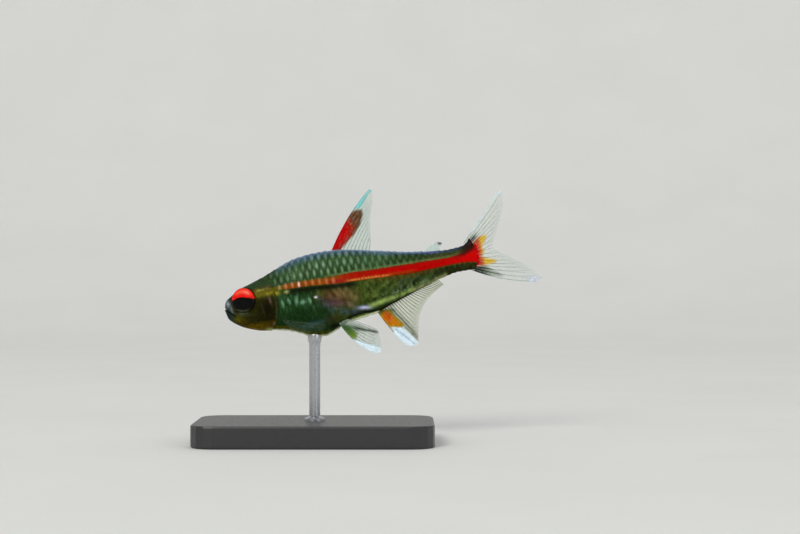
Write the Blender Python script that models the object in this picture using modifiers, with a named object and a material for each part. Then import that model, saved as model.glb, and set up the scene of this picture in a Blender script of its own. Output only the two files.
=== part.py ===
"""A life-size glowlight tetra, 40 mm long, held by one rod over a plain display base.

The fish is modelled in its own frame, in millimetres: x runs back from the snout, z up, and y to its
right side. An empty at the snout then pitches the whole fish nose-down over the stand. The frame of the
finished part has its origin at the middle of the base's underside, +Z up, with the head towards -X.
"""

from math import acos, atan, cos, exp, pi, radians, sin, tan

import bmesh
import bpy
import numpy as np
from mathutils import Euler, Matrix, Vector

# Frame and stand, in millimetres
MM = 0.001
GAP = 0.3
PITCH_DEG = 11.3
SNOUT_HEIGHT = 16.9
BASE_LENGTH, BASE_WIDTH, BASE_HEIGHT = 30.0, 18.0, 2.8
BASE_CORNER, BASE_EDGE = 3.0, 0.4
ROD_RADIUS = 0.7
ROD_AT = 10.3
ROD_OVERRUN = 1.5
ROD_SEGMENTS, CORNER_POINTS = 20, 5
ROD_CUT_REACH, ROD_CUT_RINGS = 2.5, 15

# Lengths along the fish, from the tip of the snout
BODY_END = 32.3
HEAD_END = 6.7
TAIL_START = 19.1
GILL_SETBACK = 1.5
TAIL_SLANT = 0.8
BEND_START = 16.0
BEND_END_DEG = 10.0

# Side and top profiles of the body: (x, size)
BACK = [
    (0.0, 0.25), (0.12, 0.66), (0.45, 1.04), (1.0, 1.36), (1.6, 1.74), (2.4, 2.10), (3.4, 2.38),
    (4.6, 2.74), (6.0, 3.20), (7.2, 3.66), (8.6, 4.18), (10.2, 4.54), (12.2, 4.68), (14.5, 4.64),
    (16.8, 4.26), (19.2, 3.70), (21.6, 3.06), (24.2, 2.48), (26.6, 2.10), (29.0, 1.82), (30.6, 1.90),
    (31.5, 2.26), (32.3, 2.80),
]
BELLY = [
    (0.0, -0.85), (0.1, -1.30), (0.3, -1.62), (0.7, -2.02), (1.7, -2.74), (3.5, -3.50), (5.1, -3.88),
    (7.0, -4.26), (8.8, -5.01), (10.6, -5.79), (11.9, -5.88), (13.2, -5.47), (14.4, -4.95),
    (15.8, -4.70), (17.4, -4.52), (18.7, -4.36), (20.2, -3.80), (23.1, -2.92), (26.1, -2.04), (27.9, -1.52),
    (29.6, -1.26), (31.2, -1.28), (32.3, -1.45),
]
HALF_WIDTH = [
    (0.0, 0.42), (0.12, 0.70), (0.45, 0.98), (1.0, 1.28), (1.8, 1.62), (2.8, 1.90), (4.2, 2.10),
    (5.6, 2.22), (7.2, 2.31), (9.5, 2.40), (12.0, 2.36), (15.0, 2.18), (18.5, 1.82), (22.0, 1.42),
    (26.0, 1.02), (29.0, 0.78), (31.0, 0.62), (32.3, 0.46),
]
WIDEST_HEIGHT = [
    (0.0, -0.30), (2.6, -0.15), (6.0, -0.30), (11.0, -0.50), (18.0, -0.15), (26.0, 0.10), (32.3, 0.65),
]
BOXINESS = [(0.0, 2.3), (1.0, 2.6), (2.8, 2.9), (5.0, 2.4), (9.0, 2.1), (32.3, 2.0)]

# Rings of the loft
AROUND = 32
HEAD_STATIONS = [0.0, 0.12, 0.3, 0.5, 0.75, 1.05, 1.4, 1.8, 2.3, 2.9, 3.6, 4.4, 5.2, 6.0, HEAD_END]
TRUNK_RINGS = 17
TAIL_RINGS = 15
SNOUT_BULGE = 0.07
NORMAL_STEP = 0.05

# Mouth, lips and nostrils
MOUTH_FRONT = (0.0, -0.12)
MOUTH_CORNER = (1.25, -1.42)
MOUTH_OPEN = 0.30
MOUTH_LEAD = 0.8
LIP_SWELL, LIP_REACH = 0.10, 0.22
NOSTRILS_AT, NOSTRIL_ANGLE_DEG, NOSTRIL_RADIUS = (0.70, 1.08), 42.0, 0.17

# Eye: a turned lens shape, (radius, depth) from its front to its back
EYE_AT = (2.56, 0.60)
EYE_RADIUS, EYE_FRONT, EYE_BACK = 1.52, 0.47, 0.62
EYE_PROFILE = [
    (0.0, EYE_FRONT), (0.54, 0.44), (1.03, 0.36), (1.41, 0.22), (EYE_RADIUS, 0.06), (1.46, -0.16),
    (1.22, -0.40), (0.73, -0.56), (0.0, -EYE_BACK),
]
EYE_SINK = 0.12
EYE_SEGMENTS = 24
WELD = 0.01

# Gill cover: a plate set in the side of the head, whose free rear edge is the head's
GILL_CENTRE = (5.15, -1.05)
GILL_RADII = {"front": 1.05, "back": 2.1, "up": 1.75, "down": 2.0}
GILL_SQUARENESS = 2.6
GILL_PROUD, GILL_DEPTH = 0.10, 0.55
GILL_RINGS, GILL_SEGMENTS = 4, 28
CUTTER_CLEARS = 1.0

# Fins: thickness of the membrane and height of the ridge on each ray
FIN_THICK, FIN_TIP_THICK = 0.50, 0.22
FIN_CREASE_DEG, BODY_CREASE_DEG = 25.0, 40.0
RAY_RIDGE, RAY_WIDTH_SHARE = 0.13, 0.42
MARGIN_NOTCH = 0.03
THINNING, RIDGE_FADE = 1.5, 0.6
END_RIDGE = 0.4

# Each fin: v runs from the first ray to the last. Margin points are (v, x, z)
DORSAL = {"root": (14.5, 19.1), "rays": 11, "rows": 8, "bow": 0.38,
          "margin": [(0.0, 20.7, 11.25), (0.1, 20.98, 11.05), (0.22, 20.9, 10.1), (0.42, 20.5, 8.8),
                     (0.62, 20.1, 7.5), (0.82, 19.8, 6.1), (1.0, 19.6, 4.9)]}
ADIPOSE = {"root": (25.7, 27.6), "rays": 3, "rows": 4, "bow": 0.10,
           "margin": [(0.0, 27.8, 3.05), (0.5, 28.35, 2.78), (1.0, 28.15, 2.45)]}
ANAL = {"root": (18.7, 26.8), "rays": 21, "rows": 7, "bow": -0.12,
        "margin": [(0.0, 21.3, -8.95), (0.06, 22.3, -9.32), (0.12, 22.95, -9.1), (0.2, 23.15, -8.2),
                   (0.35, 23.55, -6.35), (0.5, 24.3, -4.85), (0.75, 25.8, -3.4), (1.0, 27.45, -2.45)]}
CAUDAL_UPPER = {"root": (2.72, 0.83), "rays": 9, "rows": 9, "bow": (-0.05, -0.05), "yaw_deg": (31.0, 24.0),
                "margin": [(0.0, 36.85, 8.0), (0.12, 37.25, 7.75), (0.28, 37.15, 6.6), (0.46, 36.7, 5.2),
                           (0.65, 36.0, 3.8), (0.85, 35.2, 2.3), (1.0, 34.65, 1.25)]}
CAUDAL_LOWER = {"root": (0.53, -1.37), "rays": 9, "rows": 9, "bow": (0.05, -0.35), "yaw_deg": (24.0, 17.0),
                "margin": [(0.0, 34.65, 0.92), (0.15, 35.5, 0.2), (0.35, 37.0, -0.95), (0.55, 38.35, -1.95),
                           (0.75, 39.5, -3.1), (0.9, 40.15, -4.15), (1.0, 39.5, -4.5)]}
PECTORAL = {"root": [(6.55, -2.75), (7.15, -3.55)], "rays": 9, "rows": 6,
            "bow": 0.25, "lean": 0.0, "thick": 0.5,
            "margin": [(0.0, 12.2, -4.35, 3.55), (0.2, 12.1, -4.9, 3.55), (0.5, 10.9, -5.35, 3.3),
                       (0.8, 9.3, -5.3, 2.8), (1.0, 8.2, -4.85, 2.4)]}
PELVIC = {"root": [(13.75, -4.55), (14.75, -4.3)], "rays": 8, "rows": 7,
          "bow": 0.22, "lean": -0.5, "thick": 0.5,
          "margin": [(0.0, 17.55, -9.2, 2.0), (0.15, 18.15, -9.1, 2.05), (0.4, 18.35, -8.3, 2.0),
                     (0.7, 18.4, -7.35, 1.85), (1.0, 18.2, -6.6, 1.6)]}
RIGHT_SIDE_LIFT = 0.25
CAUDAL_CUP = 0.25


def curve(points, at):
    """Smooth curve through (position, value) points that never overshoots them."""
    xs = np.array([p[0] for p in points], float)
    ys = np.array([p[1] for p in points], float)
    steps = np.diff(xs)
    slopes = np.diff(ys) / steps
    tangents = np.zeros(len(xs))
    tangents[0], tangents[-1] = slopes[0], slopes[-1]
    for i in range(1, len(xs) - 1):
        if slopes[i - 1] * slopes[i] > 0:
            before, after = 2 * steps[i] + steps[i - 1], steps[i] + 2 * steps[i - 1]
            tangents[i] = (before + after) / (before / slopes[i - 1] + after / slopes[i])
    at = min(max(at, xs[0]), xs[-1])
    i = min(int(np.searchsorted(xs, at, side="right")) - 1, len(steps) - 1)
    t = (at - xs[i]) / steps[i]
    return (
        ys[i] * (1 + 2 * t) * (1 - t) ** 2
        + tangents[i] * steps[i] * t * (1 - t) ** 2
        + ys[i + 1] * t * t * (3 - 2 * t)
        + tangents[i + 1] * steps[i] * t * t * (t - 1)
    )


def bend_slope(x):
    """Sideways slope of the middle line, which swings towards +y behind BEND_START."""
    share = max(0.0, x - BEND_START) / (BODY_END - BEND_START)
    return tan(radians(BEND_END_DEG)) * share


def bend_offset(x):
    """Sideways place of the middle line."""
    return bend_slope(x) * max(0.0, x - BEND_START) / 2


def lip_swell(x, z):
    """How far the lips stand out, from the distance to the line of the mouth."""
    start, end = Vector(MOUTH_FRONT), Vector(MOUTH_CORNER)
    line = end - start
    along = min(max((Vector((x, z)) - start).dot(line) / line.length_squared, -0.2), 1.0)
    distance = (Vector((x, z)) - start - line * along).length
    fade = 1.0 - max(0.0, along) ** 3
    return LIP_SWELL * fade * exp(-((distance / LIP_REACH) ** 2))


def body_point(x, angle, grow=0.0):
    """Skin point at x and at an angle from the back, 90 degrees on the right side, moved out by grow."""
    top, bottom = curve(BACK, x) + grow, curve(BELLY, x) - grow
    middle = curve(WIDEST_HEIGHT, x)
    width = curve(HALF_WIDTH, x) + grow
    power = 2.0 / curve(BOXINESS, x)
    up, out = cos(angle), sin(angle)
    reach = top - middle if up > 0 else middle - bottom
    z = middle + reach * abs(up) ** power * (1 if up > 0 else -1)
    side = width * abs(out) ** power * (1 if out > 0 else -1)
    if x < MOUTH_CORNER[0] + LIP_REACH:
        swell = lip_swell(x, z)
        side += swell * out
        x -= swell * max(0.0, 1.0 - x)
    yaw = atan(bend_slope(x))
    return Vector((x - side * sin(yaw), bend_offset(x) + side * cos(yaw), z))


def skin_angle(x, z):
    """Angle from the back at which the skin lies at height z."""
    middle = curve(WIDEST_HEIGHT, x)
    reach = curve(BACK, x) - middle if z > middle else middle - curve(BELLY, x)
    share = min(abs(z - middle) / reach, 1.0)
    angle = acos(share ** (curve(BOXINESS, x) / 2.0))
    return angle if z > middle else pi - angle


def skin_at(x, z, side):
    """Point of the skin at side-view place (x, z), on the side given by its sign."""
    return body_point(x, side * skin_angle(x, z))


def skin_normal(x, z, side):
    """Outward direction of the skin at side-view place (x, z)."""
    along = skin_at(x + NORMAL_STEP, z, side) - skin_at(x - NORMAL_STEP, z, side)
    up = skin_at(x, z + NORMAL_STEP, side) - skin_at(x, z - NORMAL_STEP, side)
    return (up.cross(along) * side).normalized()


def material(name, colour, roughness, metallic=0.0):
    made = bpy.data.materials.new(name)
    made.use_nodes = True
    shader = made.node_tree.nodes["Principled BSDF"]
    shader.inputs["Base Color"].default_value = (*colour, 1.0)
    shader.inputs["Roughness"].default_value = roughness
    shader.inputs["Metallic"].default_value = metallic
    return made


def object_from(name, points, faces, finish, collection, parent=None):
    """Named object from points in millimetres, with its faces pointing out."""
    mesh = bpy.data.meshes.new(name)
    mesh.from_pydata([Vector(p) * MM for p in points], [], faces)
    work = bmesh.new()
    work.from_mesh(mesh)
    bmesh.ops.recalc_face_normals(work, faces=work.faces)
    work.to_mesh(mesh)
    work.free()
    obj = bpy.data.objects.new(name, mesh)
    collection.objects.link(obj)
    obj.parent = parent
    mesh.materials.append(finish)
    return obj


def shade(obj, angle_deg=BODY_CREASE_DEG):
    obj.data.shade_smooth()
    obj.data.set_sharp_from_angle(angle=radians(angle_deg))


def loft(name, rings, front, finish, collection, parent=None):
    """Closed body from rings of points, with a fan to front at one end and to the middle at the other."""
    count = len(rings[0])
    points = [p for ring in rings for p in ring] + [front, end_point(rings[-1])]
    faces = []
    for r in range(len(rings) - 1):
        for k in range(count):
            a, b = r * count + k, r * count + (k + 1) % count
            faces.append((a, b, b + count, a + count))
    last = (len(rings) - 1) * count
    for k in range(count):
        faces.append((len(points) - 2, (k + 1) % count, k))
        faces.append((len(points) - 1, last + k, last + (k + 1) % count))
    return object_from(name, points, faces, finish, collection, parent)


def gill_edge(angle):
    """x of the head's rear edge: furthest back on the sides, forward at the nape and the throat."""
    return HEAD_END - GILL_SETBACK * abs(cos(angle)) ** 2


def tail_edge(angle):
    """x of the cut between trunk and tail, behind the dorsal fin and before the anal fin."""
    return TAIL_START + TAIL_SLANT * cos(angle)


def ring_angles():
    return [2 * pi * k / AROUND for k in range(AROUND)]


def end_point(ring):
    """Middle of a ring, for its closing fan."""
    return sum(ring, Vector()) / len(ring)


def head_rings():
    return [
        [body_point(x * gill_edge(a) / HEAD_END, a) for a in ring_angles()]
        for x in HEAD_STATIONS
    ]


def span_rings(start, end, count):
    """Rings between two cuts, each given as x by angle."""
    rings = []
    for i in range(count):
        share = i / (count - 1)
        rings.append([
            body_point(start(a) + share * (end(a) - start(a)), a) for a in ring_angles()
        ])
    return rings


def make_body(collection, cutters, parent, finishes):
    rings = head_rings()
    front = end_point(rings[0]) - Vector((SNOUT_BULGE, 0, 0))
    head = loft("head", rings, front, finishes["head"], collection, parent)
    rings = span_rings(lambda a: gill_edge(a) + GAP, tail_edge, TRUNK_RINGS)
    trunk = loft("trunk", rings, end_point(rings[0]), finishes["flank"], collection, parent)
    rings = span_rings(lambda a: tail_edge(a) + GAP, lambda a: BODY_END, TAIL_RINGS)
    tail = loft("tail", rings, end_point(rings[0]), finishes["flank"], collection, parent)
    cut_mouth(head, cutters, parent, finishes)
    cut_nostrils(head, cutters, parent)
    for obj in (head, trunk, tail):
        shade(obj)
    return head


def cut(obj, cutter):
    """Takes the cutter's shape out of the object."""
    cutter.hide_render = True
    cutter.display_type = "WIRE"
    modifier = obj.modifiers.new("cut " + cutter.name, "BOOLEAN")
    modifier.operation = "DIFFERENCE"
    modifier.solver = "EXACT"
    modifier.object = cutter


def cut_mouth(head, cutters, parent, finishes):
    """Wedge from the front of the snout back to the corners of the mouth."""
    front, corner = Vector(MOUTH_FRONT), Vector(MOUTH_CORNER)
    line = (front - corner).normalized()
    across = Vector((-line.y, line.x))
    mouth = front + line * MOUTH_LEAD
    spread = MOUTH_OPEN / 2 * (mouth - corner).length / (front - corner).length
    outline = [corner, mouth + across * spread, mouth - across * spread]
    reach = curve(HALF_WIDTH, 2.0) + 1.0
    points = [(p.x, y, p.y) for y in (-reach, reach) for p in outline]
    faces = [(0, 1, 2), (5, 4, 3), (0, 3, 4, 1), (1, 4, 5, 2), (2, 5, 3, 0)]
    cut(head, object_from("mouth_cutter", points, faces, finishes["head"], cutters, parent))


def cut_nostrils(head, cutters, parent):
    """Two small pits in front of each eye."""
    for side, word in ((-1, "left"), (1, "right")):
        for number, place in enumerate(NOSTRILS_AT, 1):
            mesh = bpy.data.meshes.new(f"nostril_cutter_{word}_{number}")
            work = bmesh.new()
            bmesh.ops.create_uvsphere(work, u_segments=10, v_segments=6, radius=NOSTRIL_RADIUS * MM)
            work.to_mesh(mesh)
            work.free()
            cutter = bpy.data.objects.new(mesh.name, mesh)
            cutters.objects.link(cutter)
            cutter.parent = parent
            cutter.location = body_point(place, side * radians(NOSTRIL_ANGLE_DEG)) * MM
            cut(head, cutter)


def turned(name, profile, finish, collection, parent):
    """Solid of revolution about its own Z, from (radius, height) points."""
    mesh = bpy.data.meshes.new(name)
    points = [Vector((r, 0, h)) * MM for r, h in profile]
    mesh.from_pydata(points, [(k, k + 1) for k in range(len(points) - 1)], [])
    mesh.materials.append(finish)
    obj = bpy.data.objects.new(name, mesh)
    collection.objects.link(obj)
    obj.parent = parent
    screw = obj.modifiers.new("turn", "SCREW")
    screw.steps = screw.render_steps = EYE_SEGMENTS
    screw.use_merge_vertices = True
    screw.merge_threshold = WELD * MM
    screw.use_smooth_shade = True
    return obj


def grown_profile(margin):
    """Eye profile moved out by the margin on every side."""
    side = (EYE_RADIUS + margin) / EYE_RADIUS
    front, back = (EYE_FRONT + margin) / EYE_FRONT, (EYE_BACK + margin) / EYE_BACK
    return [(r * side, h * (front if h > 0 else back)) for r, h in EYE_PROFILE]


def make_eyes(collection, cutters, parent, head, finishes):
    for side, word in ((-1, "left"), (1, "right")):
        normal = skin_normal(*EYE_AT, side)
        eye = turned("eye_" + word, EYE_PROFILE, finishes["eye"], collection, parent)
        socket = turned("socket_cutter_" + word, grown_profile(GAP), finishes["head"], cutters, parent)
        for obj in (eye, socket):
            obj.location = (skin_at(*EYE_AT, side) - normal * EYE_SINK) * MM
            obj.rotation_euler = normal.to_track_quat("Z", "Y").to_euler()
        cut(head, socket)


def gill_outline(angle, grow, rear):
    """Side-view point of the gill cover's edge, held in front of the head's rear edge plus rear."""
    side = GILL_RADII["back"] if cos(angle) > 0 else GILL_RADII["front"]
    height = GILL_RADII["up"] if sin(angle) > 0 else GILL_RADII["down"]
    n = GILL_SQUARENESS
    reach = (abs(cos(angle) / side) ** n + abs(sin(angle) / height) ** n) ** (-1 / n) + grow
    x, z = GILL_CENTRE[0] + reach * cos(angle), GILL_CENTRE[1] + reach * sin(angle)
    return Vector((min(x, gill_edge(skin_angle(x, z)) + rear), z))


def gill_plate(name, side, grow, rear, proud, depth, finish, collection, parent):
    """Plate that follows the skin, from depth below it to proud above it."""
    centre = Vector(GILL_CENTRE)
    points = [skin_at(*centre, side)]
    for r in range(1, GILL_RINGS + 1):
        for k in range(GILL_SEGMENTS):
            edge = gill_outline(2 * pi * k / GILL_SEGMENTS, grow, rear)
            points.append(skin_at(*centre.lerp(edge, r / GILL_RINGS), side))
    faces = []
    for k in range(GILL_SEGMENTS):
        n = (k + 1) % GILL_SEGMENTS
        faces.append((0, 1 + k, 1 + n)[::-side])
        for r in range(GILL_RINGS - 1):
            a = 1 + r * GILL_SEGMENTS
            b = a + GILL_SEGMENTS
            faces.append((a + k, b + k, b + n, a + n)[::-side])
    mesh = bpy.data.meshes.new(name)
    mesh.from_pydata([p * MM for p in points], [], faces)
    mesh.shade_smooth()
    mesh.materials.append(finish)
    obj = bpy.data.objects.new(name, mesh)
    collection.objects.link(obj)
    obj.parent = parent
    shell = obj.modifiers.new("thickness", "SOLIDIFY")
    shell.thickness = (proud + depth) * MM
    shell.offset = (proud - depth) / (proud + depth)
    return obj


def make_gill_covers(collection, cutters, parent, head, finishes):
    for side, word in ((-1, "left"), (1, "right")):
        gill_plate("gill_cover_" + word, side, 0.0, 0.0, GILL_PROUD, GILL_DEPTH,
                   finishes["gill"], collection, parent)
        recess = gill_plate("gill_cutter_" + word, side, GAP, CUTTER_CLEARS, CUTTER_CLEARS,
                            GILL_DEPTH + GAP, finishes["head"], cutters, parent)
        cut(head, recess)


def ray_columns(rays):
    """(v, ridge) of each column across a fin: the foot, crest and foot of every ray."""
    half = RAY_WIDTH_SHARE / (rays - 1)
    columns = []
    for k in range(rays):
        centre = k / (rays - 1)
        columns += [(centre - half, 0.0), (centre, 1.0), (centre + half, 0.0)]
    columns[0] = (-half / 2, END_RIDGE)
    columns[-1] = (1 + half / 2, END_RIDGE)
    return columns


def margin_point(spec, v):
    """Point of the fin's edge at v, from its few (v, x, z) or (v, x, z, y) points."""
    points = spec["margin"]
    return [curve([(p[0], p[i]) for p in points], v) for i in range(1, len(points[0]))]


def across_chord(root, tip):
    """Unit vector in the plane of the body, square to the line from root to tip."""
    chord = tip - root
    return Vector((-chord.z, 0, chord.x)).normalized()


def fin_middle(columns, rows, root_of, tip_of, bow_of):
    """Grid of points on the fin's middle surface, from its root to its notched edge."""
    grid = []
    for i in range(rows + 1):
        u = i / rows
        line = []
        for v, ridge in columns:
            inside = min(max(v, 0.0), 1.0)
            reach = u * (1 - MARGIN_NOTCH * (1 - ridge) * u)
            bow = bow_of(inside) * 4 * u * (1 - u)
            line.append(root_of(v).lerp(tip_of(inside), reach) + bow)
        grid.append(line)
    return grid


def half_thickness(u, ridge):
    """Half the fin's thickness at u along a ray, on its ridge or between two."""
    plain = (FIN_THICK + (FIN_TIP_THICK - FIN_THICK) * u ** THINNING) / 2
    return plain + RAY_RIDGE * ridge * (1 - RIDGE_FADE * u)


def fin(name, spec, root_of, tip_of, bow_of, finish, collection, parent):
    """Closed sheet between its root and its edge, with a ridge along each ray on both faces."""
    columns = ray_columns(spec["rays"])
    rows, across = spec["rows"], len(columns)
    grid = fin_middle(columns, rows, root_of, tip_of, bow_of)
    points, faces = [], []
    for face in (1, -1):
        for i in range(rows + 1):
            for j in range(across):
                along = grid[min(i + 1, rows)][j] - grid[max(i - 1, 0)][j]
                wide = grid[i][min(j + 1, across - 1)] - grid[i][max(j - 1, 0)]
                half = half_thickness(i / rows, columns[j][1])
                points.append(grid[i][j] + along.cross(wide).normalized() * half * face)
    layer = (rows + 1) * across
    for i in range(rows):
        for j in range(across - 1):
            a = i * across + j
            b, c, d = a + 1, a + across + 1, a + across
            for base in (0, layer):
                faces += [(a + base, b + base, c + base), (a + base, c + base, d + base)]
    edge = list(range(across))
    edge += [i * across + across - 1 for i in range(1, rows + 1)]
    edge += [rows * across + j for j in range(across - 2, -1, -1)]
    edge += [i * across for i in range(rows - 1, 0, -1)]
    for a, b in zip(edge, edge[1:] + edge[:1]):
        faces += [(a, b, b + layer), (a, b + layer, a + layer)]
    shade(object_from(name, points, faces, finish, collection, parent), FIN_CREASE_DEG)


def unpaired_fin(name, spec, outline, above, finish, collection, parent):
    """Fin that stands on the middle line of the back or the belly."""
    first, last = spec["root"]
    lift = GAP if above else -GAP

    def root_of(v):
        x = first + (last - first) * v
        return Vector((x, bend_offset(x), curve(outline, x) + lift))

    def tip_of(v):
        x, z = margin_point(spec, v)
        return Vector((x, bend_offset(min(x, BODY_END)), z))

    def bow_of(v):
        return across_chord(root_of(v), tip_of(v)) * spec["bow"] * (1 - v)

    fin(name, spec, root_of, tip_of, bow_of, finish, collection, parent)


def caudal_lobe(name, spec, finish, collection, parent):
    """One lobe of the forked tail fin: its rays leave the end of the tail and swing sideways."""
    high, low = spec["root"]
    first_yaw, last_yaw = spec["yaw_deg"]
    base = BODY_END + GAP

    def root_of(v):
        return Vector((base, bend_offset(BODY_END), high + (low - high) * v))

    def tip_of(v):
        x, z = margin_point(spec, v)
        swing = tan(radians(first_yaw + (last_yaw - first_yaw) * v))
        return Vector((x, bend_offset(BODY_END) + (x - base) * swing, z))

    def bow_of(v):
        first_bow, last_bow = spec["bow"]
        bow = first_bow + (last_bow - first_bow) * v
        return across_chord(root_of(v), tip_of(v)) * bow - Vector((0, CAUDAL_CUP, 0))

    fin(name, spec, root_of, tip_of, bow_of, finish, collection, parent)


def paired_fin(name, spec, side, finish, collection, parent):
    """Fin on the side of the body, whose margin points are (v, x, z, distance from the middle)."""
    (x0, z0), (x1, z1) = spec["root"]
    lift = RIGHT_SIDE_LIFT if side > 0 else 0.0

    def root_of(v):
        x, z = x0 + (x1 - x0) * v, z0 + (z1 - z0) * v
        return skin_at(x, z, side) + skin_normal(x, z, side) * (GAP + spec["thick"] / 2)

    def tip_of(v):
        x, z, out = margin_point(spec, v)
        return Vector((x, side * out, z + lift))

    def bow_of(v):
        lean = across_chord(root_of(v), tip_of(v)) * spec["lean"] * (1 - v)
        return lean + Vector((0, side * spec["bow"], 0))

    fin(name, spec, root_of, tip_of, bow_of, finish, collection, parent)


def make_fins(collection, parent, finishes):
    unpaired_fin("dorsal_fin", DORSAL, BACK, True, finishes["red_fin"], collection, parent)
    unpaired_fin("adipose_fin", ADIPOSE, BACK, True, finishes["clear_fin"], collection, parent)
    unpaired_fin("anal_fin", ANAL, BELLY, False, finishes["red_fin"], collection, parent)
    caudal_lobe("caudal_fin_upper", CAUDAL_UPPER, finishes["clear_fin"], collection, parent)
    caudal_lobe("caudal_fin_lower", CAUDAL_LOWER, finishes["clear_fin"], collection, parent)
    for side, word in ((-1, "left"), (1, "right")):
        paired_fin("pectoral_fin_" + word, PECTORAL, side, finishes["clear_fin"], collection, parent)
        paired_fin("pelvic_fin_" + word, PELVIC, side, finishes["clear_fin"], collection, parent)


def make_base(collection, finish):
    """Flat plate with round corners and a small bevel on its upper edge."""
    outline = bpy.data.curves.new("stand_base_outline", "CURVE")
    outline.dimensions = "2D"
    outline.fill_mode = "BOTH"
    outline.extrude = BASE_HEIGHT / 2 * MM
    spline = outline.splines.new("POLY")
    corners = []
    for quarter, (sx, sy) in enumerate(((1, 1), (-1, 1), (-1, -1), (1, -1))):
        for k in range(CORNER_POINTS):
            angle = pi / 2 * (quarter + k / (CORNER_POINTS - 1))
            corners.append((
                (sx * (BASE_LENGTH / 2 - BASE_CORNER) + BASE_CORNER * cos(angle)) * MM,
                (sy * (BASE_WIDTH / 2 - BASE_CORNER) + BASE_CORNER * sin(angle)) * MM,
            ))
    spline.points.add(len(corners) - 1)
    for point, (x, y) in zip(spline.points, corners):
        point.co = (x, y, 0, 1)
    spline.use_cyclic_u = True
    base = bpy.data.objects.new("stand_base", outline)
    collection.objects.link(base)
    base.location = (0, 0, BASE_HEIGHT / 2 * MM)
    weld = base.modifiers.new("weld", "WELD")
    weld.merge_threshold = WELD * MM
    bevel = base.modifiers.new("edge", "BEVEL")
    bevel.width = BASE_EDGE * MM
    bevel.segments = 2
    bevel.limit_method = "ANGLE"
    bevel.angle_limit = radians(60)
    outline.materials.append(finish)


def make_rod(collection, cutters, parent, to_world, finishes):
    """Upright rod from the base to the belly, its top cut to the belly's shape."""
    belly = to_world @ (Vector((ROD_AT, 0, curve(BELLY, ROD_AT))) * MM)
    bottom = (BASE_HEIGHT + GAP) * MM
    top = belly.z + ROD_OVERRUN * MM
    bpy.ops.mesh.primitive_cylinder_add(vertices=ROD_SEGMENTS, radius=ROD_RADIUS * MM,
                                        depth=top - bottom, location=(belly.x, 0, (top + bottom) / 2))
    rod = bpy.context.object
    rod.name = "stand_rod"
    for user in list(rod.users_collection):
        user.objects.unlink(rod)
    collection.objects.link(rod)
    rod.data.materials.append(finishes["rod"])
    places = np.linspace(ROD_AT - ROD_CUT_REACH, ROD_AT + ROD_CUT_REACH, ROD_CUT_RINGS)
    rings = [[body_point(x, a, GAP) for a in ring_angles()] for x in places]
    cut(rod, loft("belly_cutter", rings, end_point(rings[0]), finishes["head"], cutters, parent))
    shade(rod)


def new_collection(name):
    made = bpy.data.collections.new(name)
    bpy.context.scene.collection.children.link(made)
    return made


def main():
    for obj in list(bpy.data.objects):
        bpy.data.objects.remove(obj)
    parts = new_collection("glowlight_tetra")
    cutters = new_collection("cutters")
    finishes = {
        "head": material("head_skin", (0.20, 0.19, 0.07), 0.35),
        "gill": material("gill_cover_skin", (0.32, 0.28, 0.10), 0.30),
        "flank": material("flank_skin", (0.17, 0.22, 0.12), 0.35),
        "eye": material("eye_surface", (0.02, 0.02, 0.02), 0.10),
        "red_fin": material("red_fin_membrane", (0.70, 0.22, 0.12), 0.45),
        "clear_fin": material("clear_fin_membrane", (0.72, 0.78, 0.70), 0.45),
        "base": material("base_finish", (0.05, 0.05, 0.05), 0.45),
        "rod": material("rod_steel", (0.60, 0.60, 0.62), 0.30, 1.0),
    }
    turn = Euler((0, -radians(PITCH_DEG), 0))
    under_rod = turn.to_matrix() @ Vector((ROD_AT, 0, curve(BELLY, ROD_AT)))
    pose = bpy.data.objects.new("fish_pose", None)
    parts.objects.link(pose)
    pose.location = Vector((-under_rod.x, 0, SNOUT_HEIGHT)) * MM
    pose.rotation_euler = turn
    to_world = Matrix.Translation(pose.location) @ turn.to_matrix().to_4x4()
    head = make_body(parts, cutters, pose, finishes)
    make_eyes(parts, cutters, pose, head, finishes)
    make_gill_covers(parts, cutters, pose, head, finishes)
    make_fins(parts, pose, finishes)
    make_base(parts, finishes["base"])
    make_rod(parts, cutters, pose, to_world, finishes)


main()
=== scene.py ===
"""The looks of a life-size glowlight tetra on its display stand.

The fish is laid out in its own frame, in millimetres: x runs back from the snout, z up and y to its right
side, as in the solids. to_part turns that frame nose-down over the stand and into metres.
"""

from math import cos, pi, radians, sin, tan

import bpy
import numpy as np
from mathutils import Euler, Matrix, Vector


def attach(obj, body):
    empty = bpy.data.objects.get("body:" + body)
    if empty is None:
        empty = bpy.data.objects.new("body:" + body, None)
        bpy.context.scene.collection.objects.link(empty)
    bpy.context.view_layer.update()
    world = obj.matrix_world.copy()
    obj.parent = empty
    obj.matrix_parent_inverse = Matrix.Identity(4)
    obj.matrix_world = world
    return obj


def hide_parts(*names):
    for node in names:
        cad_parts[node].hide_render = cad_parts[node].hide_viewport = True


MM = 0.001
SEED = 7

# Pose, stand and tail bend, as in the solids
GAP = 0.3
PITCH_DEG = 11.3
SNOUT_HEIGHT = 16.9
BASE_HEIGHT = 2.8
ROD_AT, ROD_RADIUS = 10.3, 0.7
BODY_END = 32.3
HEAD_END = 6.7
GILL_SETBACK = 1.5
BEND_START = 16.0
BEND_END_DEG = 10.0

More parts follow.
